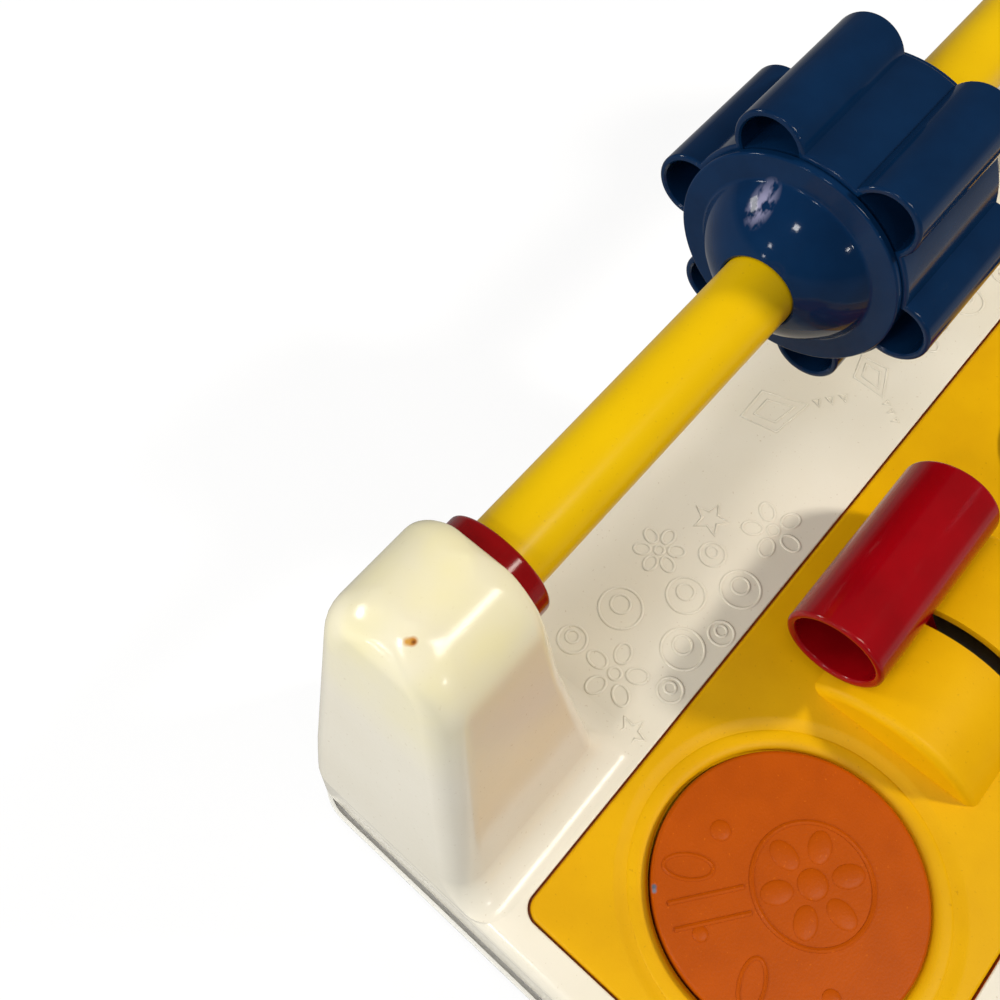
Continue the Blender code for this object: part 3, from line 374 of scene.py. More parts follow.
def post_outline(height):
    """A post's outline at a height: the arch above the rod, flared sides and filleted foot below."""
    rise = height - ROD_Z

    def reach(flare):
        """How far the post goes to one side of the rod at this height."""
        if rise > POST_ARCH * math.sin(flare):
            return math.sqrt(max(POST_ARCH ** 2 - rise ** 2, 0.0))
        return POST_ARCH * math.cos(flare) + (POST_ARCH * math.sin(flare) - rise) * math.tan(flare)

    front = reach(POST_FLARE)
    back = reach(POST_BACK_FLARE)
    near = POST_FACE - max(0.0, -rise - POST_STRAIGHT) * math.tan(POST_LEAN)
    far = BASE_LENGTH / 2 - (height - SHELL_LOW) * math.tan(SIDE_DRAFT) - SIDE_SETBACK
    if height < DECK:
        far -= SHELL_INSET * (DECK - height) / (DECK - SHELL_LOW)
    top = ROD_Z + POST_ARCH
    near += draw_in(POST_INNER_ROUND, top - height)
    far -= draw_in(POST_OUTER_ROUND, top - height)
    spread = draw_in(FOOT_FILLET, height - DECK)
    near -= spread
    front += spread
    near_round = min(POST_INNER_ROUND, (front + back) / 2)
    near_back_round = min(POST_INNER_ROUND + POST_BACK_BLEND * spread, (front + back) / 2)
    far_round = min(POST_OUTER_ROUND, (front + back) / 2)
    high = min(ROD_Y + back, BASE_Y + half_y - SHELL_INSET / 2)
    low = ROD_Y - front
    outline = arc_points((far - far_round, high - far_round), far_round, 0, 90, CORNER_STEPS)
    outline += arc_points((near + near_back_round, high - near_back_round), near_back_round, 90, 180,
                          CORNER_STEPS)
    outline += arc_points((near + near_round, low + near_round), near_round, 180, 270, CORNER_STEPS)
    outline += arc_points((far - far_round, low + far_round), far_round, 270, 360, CORNER_STEPS)
    return [(x, y, height) for x, y in outline]


def skinned(name, rings):
    """A closed skin over a stack of outlines."""
    count = len(rings[0])
    faces = [list(range(count)), [len(rings) * count - 1 - i for i in range(count)]]
    for row in range(len(rings) - 1):
        faces += between(row, row + 1, count)
    return meshed(name, rings, faces)


def between(first, second, count):
    """Faces that join two rings of count points, given by the rings' numbers."""
    return [[first * count + i, first * count + (i + 1) % count,
             second * count + (i + 1) % count, second * count + i] for i in range(count)]


def meshed(name, rings, faces):
    """A piece from rings of points and the faces between them."""
    mesh = bpy.data.meshes.new(name)
    mesh.from_pydata([point for ring in rings for point in ring], [], faces)
    piece = bpy.data.objects.new(name, mesh)
    bpy.context.scene.collection.objects.link(piece)
    outward(piece)
    return piece


def outward(piece):
    """Merges doubled points and points every face outwards."""
    only(piece)
    bpy.ops.object.mode_set(mode="EDIT")
    bpy.ops.mesh.select_all(action="SELECT")
    bpy.ops.mesh.remove_doubles(threshold=0.000001)
    bpy.ops.mesh.normals_make_consistent(inside=False)
    bpy.ops.object.mode_set(mode="OBJECT")


def evenly(low, high, steps):
    """Heights at even steps from low up to high, without low."""
    return [low + (high - low) * step / steps for step in range(1, steps + 1)]


FILLET_STEPS = 10
straight_low = ROD_Z - POST_STRAIGHT
heights = [SHELL_LOW + RIM_EDGE]
heights += [DECK + SLIVER + FOOT_FILLET * (1 - math.cos(math.pi / 2 * step / FILLET_STEPS))
            for step in range(FILLET_STEPS + 1)]
heights += evenly(DECK + FOOT_FILLET, straight_low, 6) + evenly(straight_low, ROD_Z, 4)
heights += [ROD_Z + POST_ARCH * math.sin(math.pi / 2 * step / CROWN_STEPS) for step in range(1, CROWN_STEPS)]
heights += [ROD_Z + POST_ARCH - SLIVER / 2]
right_post = skinned("right_post", [post_outline(height) for height in heights])
only(right_post)
bpy.ops.object.duplicate()
left_post = bpy.context.object
left_post.scale = (-1, 1, 1)
bpy.ops.object.transform_apply(location=True, rotation=True, scale=True)
outward(left_post)

side_x = half_x - SHELL_INSET
side_y = half_y - SHELL_INSET
shell = plate("top_shell_moulding", side_x, BASE_Y, side_y, SHELL_LOW, DECK, CORNER_RADIUS)
drafted(shell, SHELL_LOW, DECK, deck_inset - SHELL_INSET)
pick_edges(shell, level(DECK))
bevel_picked(DECK_EDGE, 7)
pick_edges(shell, level(SHELL_LOW))
bevel_picked(RIM_EDGE / 2, 1)
merge(shell, right_post, "UNION")
merge(shell, left_post, "UNION")
inside = plate("inside", side_x - SHELL_WALL, BASE_Y, side_y - SHELL_WALL, SHELL_LOW - RIM_ROUND,
               DECK - SHELL_WALL, CORNER_RADIUS - SHELL_WALL)
drafted(inside, SHELL_LOW, DECK, deck_inset - SHELL_INSET)
merge(shell, inside, "DIFFERENCE")
opening_x = PANEL_LENGTH / 2 + PANEL_GAP
opening_y = PANEL_DEPTH / 2 + PANEL_GAP
opening = plate("opening", opening_x, PANEL_Y, opening_y, DECK - 2 * SHELL_WALL, DECK + SHELL_WALL,
                PANEL_CORNER + PANEL_GAP)
ledge = plate("ledge", opening_x + LEDGE_WALL, PANEL_Y, opening_y + LEDGE_WALL, DECK - 2 * SHELL_WALL,
              DECK - SHELL_WALL + OVERLAP, LEDGE_CORNER)
merge(shell, ledge, "UNION")
opening_low = plate("opening_low", opening_x - LEDGE, PANEL_Y, opening_y - LEDGE, 0, DECK, PANEL_CORNER)
for point in opening.data.vertices:
    if point.co.z < DECK - SHELL_WALL:
        point.co.z = DECK - SHELL_WALL - OVERLAP
merge(shell, opening, "DIFFERENCE")
merge(shell, opening_low, "DIFFERENCE")
pick_edges(shell, lambda a, b: level(DECK)(a, b) and max(abs(a.x), abs(b.x)) < opening_x + NEAR
           and min(a.y, b.y) > PANEL_Y - opening_y - NEAR and max(a.y, b.y) < PANEL_Y + opening_y + NEAR)
bevel_picked(OPENING_ROUND, 3)
shade(shell, 30)


def spot(material, colour, place, reach, radius, soft, strength=1.0, streaks=None):
    """A mark at one place on a piece: a stain, a chip or a scuff. reach squeezes its three widths;
    streaks gives the scale of the noise that breaks it up."""
    tree = material.node_tree
    where = node(tree, "TexCoord").outputs["Object"]
    moved = node(tree, "Mapping", {"Vector": where, "Location": [-value for value in place]})
    squeezed = node(tree, "VectorMath", {0: moved.outputs["Vector"], 1: reach}, operation="MULTIPLY")
    far = node(tree, "VectorMath", {0: squeezed.outputs["Vector"]}, operation="LENGTH").outputs["Value"]
    factor = ranged(tree, far, radius + soft, radius - soft, 0, strength)
    if streaks:
        drawn = node(tree, "Mapping", {"Vector": where, "Scale": streaks}).outputs["Vector"]
        factor = maths(tree, "MULTIPLY", factor, ranged(tree, noise(tree, drawn, 1), 0.42, 0.58))
    blend_in(material, colour, factor)


shell_ivory = moulded("shell_ivory", (0.80, 0.75, 0.63), (0.75, 0.69, 0.55), 0.19, mottle=28,
                      mottle_share=0.5, grain=0.10, grain_size=650, scratch=0.06, specular=0.45,
                      fleck=(0.42, 0.30, 0.16), fleck_share=0.35)
tree = shell_ivory.node_tree
where = node(tree, "TexCoord").outputs["Object"]
height = node(tree, "SeparateXYZ", {"Vector": where}).outputs["Z"]
# Crowns of the posts tinted by height and noise: partly yellowing, partly painted light where the tops are
# lit.
yellowing_and_top_light = maths(tree, "MULTIPLY", ranged(tree, height, 0.092, 0.128), noise(tree, where, 60))
blend_in(shell_ivory, (0.82, 0.75, 0.46), maths(tree, "MULTIPLY", yellowing_and_top_light, 1.5, clamp=True))
# The walls of the panel's opening are painted dark red-brown: painted shade in the gap, with a painted
# reflection of the yellow panel.
blend_in(shell_ivory, (0.55, 0.11, 0.015),
         sunk_in(shell_ivory, PANEL_Y, opening_x + PANEL_GAP, opening_y + PANEL_GAP, DECK - OPENING_ROUND))
STAIN_REACH = (0.6, 0.7, 1.0)
spot(shell_ivory, (0.55, 0.22, 0.03), (-0.1764, 0.0602, 0.1333), STAIN_REACH, 0.0007, 0.00025)
spot(shell_ivory, (0.60, 0.30, 0.05), (-0.1770, 0.0611, 0.1331), STAIN_REACH, 0.0006, 0.0003)
spot(shell_ivory, (0.22, 0.07, 0.012), (-0.1763, 0.0599, 0.1333), STAIN_REACH, 0.0003, 0.0002)

# Deck relief: fine raised lines of the same ivory styrene, cut into the shell's mould and so cast
# with it, about a third of a millimetre high. The motifs are plain nursery shapes of the size of
# the real ones, in an arrangement of their own.
DECK_LINE = 0.0006
FLATTER = 1.1
SUNK = 0.45


def bead(points, radius, height, closed=True):
    """A raised line on a face at one height: a flattened round bead, sunk so only its crown shows."""
    bpy.ops.object.select_all(action="DESELECT")
    curve = bpy.data.curves.new("bead", "CURVE")
    curve.dimensions = "3D"
    curve.bevel_depth = radius
    curve.bevel_resolution = 2
    curve.use_fill_caps = True
    spline = curve.splines.new("POLY")
    spline.points.add(len(points) - 1)
    spline.use_cyclic_u = closed
    for knot, (x, y) in zip(spline.points, points):
        knot.co = (x, y, height, 1)
    line = bpy.data.objects.new("bead", curve)
    bpy.context.scene.collection.objects.link(line)
    line.select_set(True)
    bpy.context.view_layer.objects.active = line
    bpy.ops.object.convert(target="MESH")
    line = bpy.context.object
    for point in line.data.vertices:
        point.co.z = height + (point.co.z - height) * FLATTER - SUNK * FLATTER * radius
    outward(line)
    return line


def turned(x, y, u, v, turn):
    """A point (u, v) of a figure, after the figure is turned and set at (x, y)."""
    return x + u * math.cos(turn) - v * math.sin(turn), y + u * math.sin(turn) + v * math.cos(turn)


def oval(x, y, across, along=None, turn=0.0, steps=36):
    """Points on an ellipse."""
    angles = [math.tau * step / steps for step in range(steps)]
    along = along or across
    return [turned(x, y, across * math.cos(angle), along * math.sin(angle), turn) for angle in angles]


def joined(piece, *parts):
    """Adds raised details to the piece they are moulded with."""
    only(piece)
    for part in parts:
        part.select_set(True)
    bpy.ops.object.join()


def blossom(x, y, size, petals, turn):
    """A flower: a small middle and a ring of oval petals."""
    shapes = [oval(x, y, 0.20 * size)]
    for index in range(petals):
        heading = turn + index * math.tau / petals
        shapes.append(oval(*turned(x, y, 0.70 * size, 0, heading), 0.34 * size, 0.25 * size, heading))
    return shapes


def star(x, y, size, turn):
    """A star with five points."""
    return [[turned(x, y, size * (0.45 if step % 2 else 1), 0, turn + step * math.pi / 5)
             for step in range(10)]]


def eyed(x, y, size):
    """A ring with a smaller one inside it, set off centre."""
    return [oval(x, y, size), oval(x + 0.15 * size, y + 0.12 * size, 0.45 * size)]


def kite(x, y, size, turn):
    """Two kites, one inside the other, and three bows on the tail."""
    plan = [[(0, 1), (0.7, 0.15), (0, -1), (-0.7, 0.15)], [(0, 0.6), (0.38, 0.1), (0, -0.6), (-0.38, 0.1)]]
    for tail in (-1.3, -1.7, -2.1):
        plan.append([(-0.12, tail), (0.12, tail + 0.1), (0.12, tail - 0.1)])
    return [[turned(x, y, size * u, size * v, turn) for u, v in shape] for shape in plan]


KITES = ((-0.014, 0.054, 0.0120, 0.9), (0.020, 0.036, 0.0090, -0.6))
BLOSSOMS = ((-0.124, 0.037, 0.0100, 5, 0.3), (-0.052, 0.028, 0.0098, 5, 0.9), (-0.082, 0.052, 0.0080, 6, 0.1),
            (0.048, 0.034, 0.0100, 5, 0.5), (0.114, 0.030, 0.0085, 6, 0.2))
STARS = ((-0.062, 0.046, 0.0062, 0.2), (-0.135, 0.022, 0.0050, 1.1), (0.066, 0.050, 0.0062, 0.8),
         (0.132, 0.044, 0.0060, 0.1))
RINGS = ((-0.104, 0.026, 0.0068), (-0.089, 0.036, 0.0062), (-0.106, 0.049, 0.0070), (-0.117, 0.021, 0.0040),
         (-0.076, 0.024, 0.0064), (-0.072, 0.038, 0.0042), (-0.124, 0.054, 0.0046), (-0.092, 0.020, 0.0040),
         (0.070, 0.028, 0.0064), (0.090, 0.042, 0.0072), (0.104, 0.056, 0.0044), (0.090, 0.023, 0.0046),
         (0.128, 0.024, 0.0040))
motifs = []
for draw, places in ((kite, KITES), (blossom, BLOSSOMS), (star, STARS), (eyed, RINGS)):
    for place in places:
        motifs += draw(*place)
joined(shell, *[bead(shape, DECK_LINE, DECK) for shape in motifs])
dress(shell, shell_ivory, "base", "ivory_shell", "top_shell")

# Carrying rod: the handle between the posts and the drum's axle. Yellow polypropylene tube, extruded
# and cut to length; its ends sit in both posts, held there by a plug.
ROD_RADIUS = 0.011
ROD_WALL = 0.002
rod_low, rod_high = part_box("handle_rod")
bpy.ops.mesh.primitive_cylinder_add(vertices=128, radius=ROD_RADIUS, depth=rod_high[0] - rod_low[0],
                                    location=(0, ROD_Y, ROD_Z), rotation=(0, math.pi / 2, 0))
rod = named("carrying_rod")
pick_faces(rod, lambda centre, normal: abs(normal.x) > 0.9)
bpy.ops.mesh.inset(thickness=ROD_WALL)
bpy.ops.mesh.extrude_region_move(TRANSFORM_OT_translate={"value": (0, 0, 0)})
bpy.ops.object.mode_set(mode="OBJECT")
outward(rod)
shade(rod)
rod_yellow = moulded("rod_yellow", (0.77, 0.485, 0.001), (0.70, 0.42, 0.001), 0.30, mottle=35,
                     mottle_share=0.5, grain=0.10, scratch=0.10, specular=0.22,
                     fleck=(0.50, 0.27, 0.01), fleck_share=0.4)
dress(rod, rod_yellow, "base", "yellow_panel", "handle_rod")


# End collars: the red rings that finish the rod's ends. Glossy styrene, injection moulded, with a
# rounded outer edge; pressed on the rod against the inner face of each post.
def spun(name, profile, place, axis, steps=96):
    """Draws a profile point by point beside an axis, X or Z, and spins it round. Points are given
    as (along the axis, out from it); a profile that never meets the axis is closed on itself."""
    def at(along, out):
        """A point of the profile's plane, in space."""
        return Vector((along, 0, out) if axis == "X" else (out, 0, along))

    bpy.ops.mesh.primitive_plane_add(size=0.001, location=(0, 0, 0))
    bpy.ops.object.mode_set(mode="EDIT")
    bpy.ops.mesh.select_mode(type="VERT")
    bpy.ops.mesh.select_all(action="SELECT")
    bpy.ops.mesh.merge(type="CENTER")
    bpy.ops.transform.translate(value=at(*profile[0]))
    onward = profile[1:] if profile[0][1] == 0 else profile[1:] + profile[:1]
    for before, after in zip(profile, onward):
        bpy.ops.mesh.extrude_vertices_move(TRANSFORM_OT_translate={"value": at(*after) - at(*before)})
    bpy.ops.mesh.select_all(action="SELECT")
    bpy.ops.mesh.remove_doubles(threshold=0.00001)
    bpy.ops.mesh.spin(steps=steps, angle=math.tau, center=(0, 0, 0),
                      axis=(1, 0, 0) if axis == "X" else (0, 0, 1))
    bpy.ops.mesh.select_all(action="SELECT")
    bpy.ops.mesh.remove_doubles(threshold=0.000001)
    bpy.ops.mesh.normals_make_consistent(inside=False)
    bpy.ops.object.mode_set(mode="OBJECT")
    bpy.context.object.location = place
    return named(name)


def mirrored(piece, name):
    """A copy of a piece for the other end of the toy, with its own mesh."""
    only(piece)
    bpy.ops.object.duplicate()
    copy = bpy.context.object
    copy.scale = (-1, 1, 1)
    bpy.ops.object.transform_apply(location=True, rotation=True, scale=True)
    copy.name = name
    copy.data.name = name
    outward(copy)
    return copy


COLLAR_OUT = 0.0158
COLLAR_THICK = 0.0057
COLLAR_ROUND = 0.0012
COLLAR_BORE = 0.0113
COLLAR_EDGE = 0.0005
COLLAR_MOUTH = 0.0006
COLLAR_GAP = 0.0003
collar_x = POST_FACE - COLLAR_GAP - COLLAR_THICK
collar_profile = arc_points((COLLAR_ROUND, COLLAR_OUT - COLLAR_ROUND), COLLAR_ROUND, 180, 90, 6)
collar_profile += arc_points((COLLAR_THICK - COLLAR_EDGE, COLLAR_OUT - COLLAR_EDGE), COLLAR_EDGE, 90, 0, 3)
collar_profile += [(COLLAR_THICK, COLLAR_BORE)]
collar_profile += arc_points((COLLAR_MOUTH, COLLAR_BORE + COLLAR_MOUTH), COLLAR_MOUTH, 270, 180, 4)
right_collar = spun("right_collar", collar_profile, (collar_x, ROD_Y, ROD_Z), "X", 112)
left_collar = mirrored(right_collar, "left_collar")
collar_red = moulded("collar_red", (0.24, 0.002, 0.003), (0.17, 0.002, 0.003), 0.12, mottle=60,
                     mottle_share=0.6, specular=0.30)
for piece, node_name in ((left_collar, "left_end_collar"), (right_collar, "right_end_collar")):
    shade(piece)
    dress(piece, collar_red, "base", "red", node_name)

# Drum barrel: the middle of the spinning drum. One navy styrene moulding, a round core with six
# half-round lobes that stay open at both ends, and a sleeve inside that closes the lobes off from
# the rod; the caps press into it.
DRUM_LENGTH = 0.047
CORE = 0.0355
LOBES = 6
LOBE = 0.0106
LOBE_CIRCLE = 0.0345
LOBE_PHASE = math.radians(5)
BARREL_WALL = 0.002
MOUTH_ROUND = 0.0009
INNER_ROUND = 0.0005
SLEEVE_IN = 0.0325
SLEEVE_OUT = 0.0340
SLEEVE_REACH = 0.0225


def lobed(inset):
    """Points round the barrel's section, as (y, z) from the rod's axis."""
    core = CORE - inset
    lobe = LOBE - inset
    half_spread = math.acos((LOBE_CIRCLE ** 2 + core ** 2 - lobe ** 2) / (2 * LOBE_CIRCLE * core))
    swing = math.atan2(core * math.sin(half_spread), core * math.cos(half_spread) - LOBE_CIRCLE)
    points = []
    for index in range(LOBES):
        heading = LOBE_PHASE + index * math.tau / LOBES
        middle = (LOBE_CIRCLE * math.cos(heading), LOBE_CIRCLE * math.sin(heading))
        points += arc_points(middle, lobe, math.degrees(heading - swing), math.degrees(heading + swing), 30)
        valley = arc_points((0, 0), core, math.degrees(heading + half_spread),
                            math.degrees(heading + math.tau / LOBES - half_spread), 6)
        points += valley[1:-1]
    return points


def quarter(steps):
    """Sine and cosine at even steps through a quarter turn, its start left out."""
    angles = [math.pi / 2 * step / steps for step in range(1, steps + 1)]
    return [(math.sin(angle), math.cos(angle)) for angle in angles]


half_drum = DRUM_LENGTH / 2
stations = [(half_drum - MOUTH_ROUND, 0)]
stations += [(half_drum - MOUTH_ROUND * (1 - rise), MOUTH_ROUND * (1 - fall)) for rise, fall in quarter(6)]
outer = [(-x, inset) for x, inset in reversed(stations)]
outer += [(-half_drum / 2, 0), (0, 0), (half_drum / 2, 0)] + stations
inner = [(half_drum, BARREL_WALL - INNER_ROUND), (half_drum - INNER_ROUND, BARREL_WALL),
         (-half_drum + INNER_ROUND, BARREL_WALL), (-half_drum, BARREL_WALL - INNER_ROUND)]
loop = [[(x, ROD_Y + y, ROD_Z + z) for y, z in lobed(inset)] for x, inset in outer + inner]
walls = []
for row in range(len(loop)):
    walls += between(row, (row + 1) % len(loop), len(loop[0]))
barrel = meshed("drum_barrel_moulding", loop, walls)
sleeve_profile = [(-SLEEVE_REACH, SLEEVE_IN), (SLEEVE_REACH, SLEEVE_IN), (SLEEVE_REACH, SLEEVE_OUT),
                  (-SLEEVE_REACH, SLEEVE_OUT)]
merge(barrel, spun("sleeve", sleeve_profile, (0, ROD_Y, ROD_Z), "X"), "UNION")
shade(barrel, 32)
drum_navy = moulded("drum_navy", (0.0024, 0.019, 0.062), (0.0018, 0.014, 0.047), 0.13, mottle=70,
                    mottle_share=0.8, grain=0.03, specular=0.20)
dress(barrel, drum_navy, "drum", "navy", "drum_barrel")

# Drum caps: the drum's two ends and its bearings. Navy styrene domes with a flat flange, moulded
# with a fine polish; pressed into the barrel and running loose on the rod.
FLANGE = 0.0342
FLANGE_THICK = 0.002
DOME = 0.0305
DOME_DEPTH = 0.015
DOME_WALL = 0.0022
BORE = 0.0113
BORE_ROUND = 0.0006
BORE_STEP = 0.0004
BEARING = 0.004
CAP_GAP = 0.0003
FLANGE_ROUND = 0.0007
GROOVE = 0.0001
FOOT_SKIP = 1.2
face = CAP_GAP + FLANGE_THICK
middle = (face - DOME_DEPTH, 0)
dome_start = 90 - math.degrees(math.asin(DOME_DEPTH / DOME))
dome_end = 90 - math.degrees(math.acos((BORE + BORE_ROUND) / DOME))
dome_foot = DOME * math.sin(math.radians(dome_start))
cap_profile = [(CAP_GAP, dome_foot - DOME_WALL), (CAP_GAP, FLANGE)]
cap_profile += arc_points((face - FLANGE_ROUND, FLANGE - FLANGE_ROUND), FLANGE_ROUND, 90, 0, 5)
cap_profile += [(face, dome_foot + FLANGE_ROUND), (face + 2 * GROOVE, dome_foot + GROOVE)]
cap_profile += arc_points(middle, DOME, dome_start - FOOT_SKIP, dome_end, 28)
mouth = cap_profile[-1][0]
cap_profile += [(mouth - BORE_STEP, BORE), (mouth - BORE_STEP - BEARING, BORE)]
cap_profile += arc_points(middle, DOME - DOME_WALL, dome_end + 6, dome_start - 2, 5)
right_cap = spun("right_dome_cap", cap_profile, (half_drum, ROD_Y, ROD_Z), "X", 128)
left_cap = mirrored(right_cap, "left_dome_cap")
dome_navy = moulded("dome_navy", (0.0024, 0.020, 0.066), (0.0018, 0.015, 0.050), 0.08, mottle=80,
                    mottle_share=0.8, grain=0.02, scratch=0.06, specular=0.14)
spot(dome_navy, (0.42, 0.40, 0.58), (-0.0309, 0.0732, 0.1335), (0.44, 1.0, 0.66), 0.0027, 0.0016, 0.60,
     (60, 480, 480))
for piece, node_name in ((left_cap, "left_drum_cap"), (right_cap, "right_drum_cap")):
    shade(piece, 28)
    dress(piece, dome_navy, "drum", "navy", node_name)

# Activity panel: yellow styrene plate dropped into the shell's opening. Two dished wells, a hollow
# hump that carries the lever, and a round hole for the button.
PANEL_THICK = 0.003
PANEL_ROUND = 0.0013
WELL_OUT = 0.0393
DISH_OUT = 0.0455
DISH_DEEP = 0.0019
WELL_FLOOR = 0.023
STATION_INSET = 0.0536
STATION_X = PANEL_LENGTH / 2 - STATION_INSET
PIVOT_Z = 0.0105
LEVER_X = -0.0511
HUMP_OUT = 0.034
HUMP_WALL = 0.003
HUMP_LENGTH = 0.0748
HUMP_ROUND = 0.003
ARM_THICK = 0.005
BEZEL_SLEEVE = 0.0250
HOLE_REACH = 0.01
WELL_WALL = 0.0022
WELL_BOTTOM = 0.0025
WELL_EDGE = 0.0004
STEM_HOLE = 0.0063
CREST = 0.0428
CREST_DROP = 0.0004
VALLEY_DROP = 0.0008
DISH_RIM = 0.0045
DISH_SPARE = 0.0005
PROUD = 0.00002
TOOL_SPARE = 0.004
SLOT_IN = 0.028
SLOT_GAP = 0.0006
LEVER_SWING = 71.8
LEVER_ARM = 0.030
ARM_HALF = 0.0066
BUTTON_X = middle_of("squeaker_button")[0]
panel = plate("yellow_panel_moulding", PANEL_LENGTH / 2 - SIDE_SETBACK, PANEL_Y,
              PANEL_DEPTH / 2 - SIDE_SETBACK, DECK - PANEL_THICK, DECK, PANEL_CORNER, 10)
pick_edges(panel, level(DECK))
bevel_picked(PANEL_ROUND, 5)
well_edge = WELL_OUT + WELL_EDGE
dish_low = DECK - DISH_DEEP
dish = [(WELL_FLOOR, 0.0), (WELL_FLOOR, WELL_OUT), (dish_low - WELL_EDGE, WELL_OUT), (dish_low, well_edge)]
dish += [(dish_low + (DISH_DEEP - CREST_DROP) * rise, CREST - (CREST - well_edge) * fall)
         for rise, fall in quarter(7)]
dish += [(DECK - CREST_DROP - (VALLEY_DROP - CREST_DROP) * (1 - fall), CREST + (DISH_OUT - CREST) * rise)
         for rise, fall in quarter(4)]
dish += [(DECK - VALLEY_DROP * fall ** 2, DISH_OUT + DISH_RIM * step / 4)
         for step, (rise, fall) in enumerate(quarter(4)[:3], 1)]
dish += [(DECK + PROUD, DISH_OUT + DISH_RIM), (DECK + TOOL_SPARE, DISH_OUT + DISH_RIM + DISH_SPARE),
         (DECK + TOOL_SPARE, 0.0)]
for side in (-1, 1):
    merge(panel, disc_tool("cup", WELL_OUT + WELL_WALL, WELL_FLOOR - WELL_BOTTOM, DECK - BITE,
                           side * STATION_X, PANEL_Y, 96), "UNION")
    merge(panel, spun("dish", dish, (side * STATION_X, PANEL_Y, 0), "Z", 128), "DIFFERENCE")
    merge(panel, disc_tool("stem_hole", STEM_HOLE, 0.01, DECK, side * STATION_X, PANEL_Y), "DIFFERENCE")

hump_half = HUMP_LENGTH / 2
hump_profile = [(-hump_half, 0.0)]
hump_profile += arc_points((-hump_half + HUMP_ROUND, HUMP_OUT - HUMP_ROUND), HUMP_ROUND, 180, 90, 6)
hump_profile += arc_points((hump_half - HUMP_ROUND, HUMP_OUT - HUMP_ROUND), HUMP_ROUND, 90, 0, 6)
hump_profile += [(hump_half, 0.0)]
hump = spun("hump", hump_profile, (LEVER_X, PANEL_Y, PIVOT_Z), "X", 160)
merge(hump, block("below", (-0.2, -0.2, -0.1), (0.2, 0.2, DECK - BITE)), "DIFFERENCE")
merge(panel, hump, "UNION")
hollow_half = hump_half - HUMP_WALL
hollow_profile = [(-hollow_half, 0.0), (-hollow_half, HUMP_OUT - HUMP_WALL),
                  (hollow_half, HUMP_OUT - HUMP_WALL), (hollow_half, 0.0)]
merge(panel, spun("hollow", hollow_profile, (LEVER_X, PANEL_Y, PIVOT_Z), "X", 96), "DIFFERENCE")
swing = LEVER_SWING / 2 + math.degrees(math.asin(ARM_HALF / LEVER_ARM))
slot_points = arc_points((0, 0), HUMP_OUT + TOOL_SPARE, 90 - swing, 90 + swing, 16)
slot_points += arc_points((0, 0), SLOT_IN, 90 + swing, 90 - swing, 16)
slot_half = ARM_THICK / 2 + SLOT_GAP
merge(panel, skinned("slot", [[(LEVER_X + side * slot_half, PANEL_Y + y, PIVOT_Z + z) for y, z in slot_points]
                              for side in (-1, 1)]), "DIFFERENCE")
merge(panel, disc_tool("button_hole", BEZEL_SLEEVE, DECK - HOLE_REACH, DECK + HOLE_REACH,
                       BUTTON_X, PANEL_Y, 96), "DIFFERENCE")
shade(panel, 28)
panel_yellow = moulded("panel_yellow", (0.73, 0.395, 0.001), (0.63, 0.32, 0.001), 0.42, mottle=40,
                       mottle_share=0.6, grain=0.16, specular=0.15, fleck=(0.46, 0.22, 0.003),
                       fleck_share=0.45)
dress(panel, panel_yellow, "base", "yellow_panel", "activity_panel")

# Picture disc: the wheel a baby turns by hand. Satin orange styrene, moulded with its raised
# picture; it sits in the left well, held from below by a stem, a click wheel and a screw.
DISC_OUT = 0.0387
DISC_THICK = 0.009
DISC_LOW = 0.0233
DISC_HIGH = DISC_LOW + DISC_THICK
DISC_ROUND = 0.0012
DISC_LINE = 0.0009
RING_OUT = 0.0170
PETALS = 6
PETAL_OUT = 0.0105
PETAL = (0.0048, 0.0034)
FLOWER_MIDDLE = 0.0044
MIDDLE_HIGH = 0.0008
BOSS_HIGH = 0.0006
STEM_OUT = 0.0345
STEM_APART = 0.0035
STEM_GAP = 0.0024
disc_profile = [(DISC_LOW, 0.0), (DISC_LOW, DISC_OUT)]
disc_profile += arc_points((DISC_HIGH - DISC_ROUND, DISC_OUT - DISC_ROUND), DISC_ROUND, 90, 0, 6)
disc_profile += [(DISC_HIGH, 0.0)]
disc = spun("picture_disc_moulding", disc_profile, (-STATION_X, PANEL_Y, 0), "Z", 144)


def boss(x, y, across, along, turn, rise):
    """A low raised dome on the disc's face, round or oval."""
    bpy.ops.mesh.primitive_uv_sphere_add(segments=32, ring_count=16, radius=1, location=(x, y, DISC_HIGH),
                                         rotation=(0, 0, turn))
    bpy.context.object.scale = (across, along, rise)
    return named("boss")


flower_x = -STATION_X + 0.005
flower_y = PANEL_Y - 0.004
lines = [bead(oval(flower_x, flower_y, RING_OUT, steps=64), DISC_LINE, DISC_HIGH)]
lines += [boss(flower_x, flower_y, FLOWER_MIDDLE, FLOWER_MIDDLE, 0, MIDDLE_HIGH)]
for index in range(PETALS):
    heading = 0.4 + index * math.tau / PETALS
    lines.append(boss(*turned(flower_x, flower_y, PETAL_OUT, 0, heading), *PETAL, heading, BOSS_HIGH))
for x, y, size in ((-0.016, -0.024, 0.0026), (0.000, 0.024, 0.0030), (-0.026, 0.012, 0.0022)):
    lines.append(boss(-STATION_X + x, PANEL_Y + y, size, size, 0, BOSS_HIGH))
for offset in (-STEM_APART, STEM_APART):
    near_end = math.sqrt(RING_OUT ** 2 - offset ** 2) + STEM_GAP
    stem = [(x - reach * 0.8 - 0.6 * offset, y + reach * 0.6 - 0.8 * offset)
            for x, y, reach in ((flower_x, flower_y, near_end), (-STATION_X, PANEL_Y, STEM_OUT))]
    lines.append(bead(stem, DISC_LINE, DISC_HIGH, closed=False))
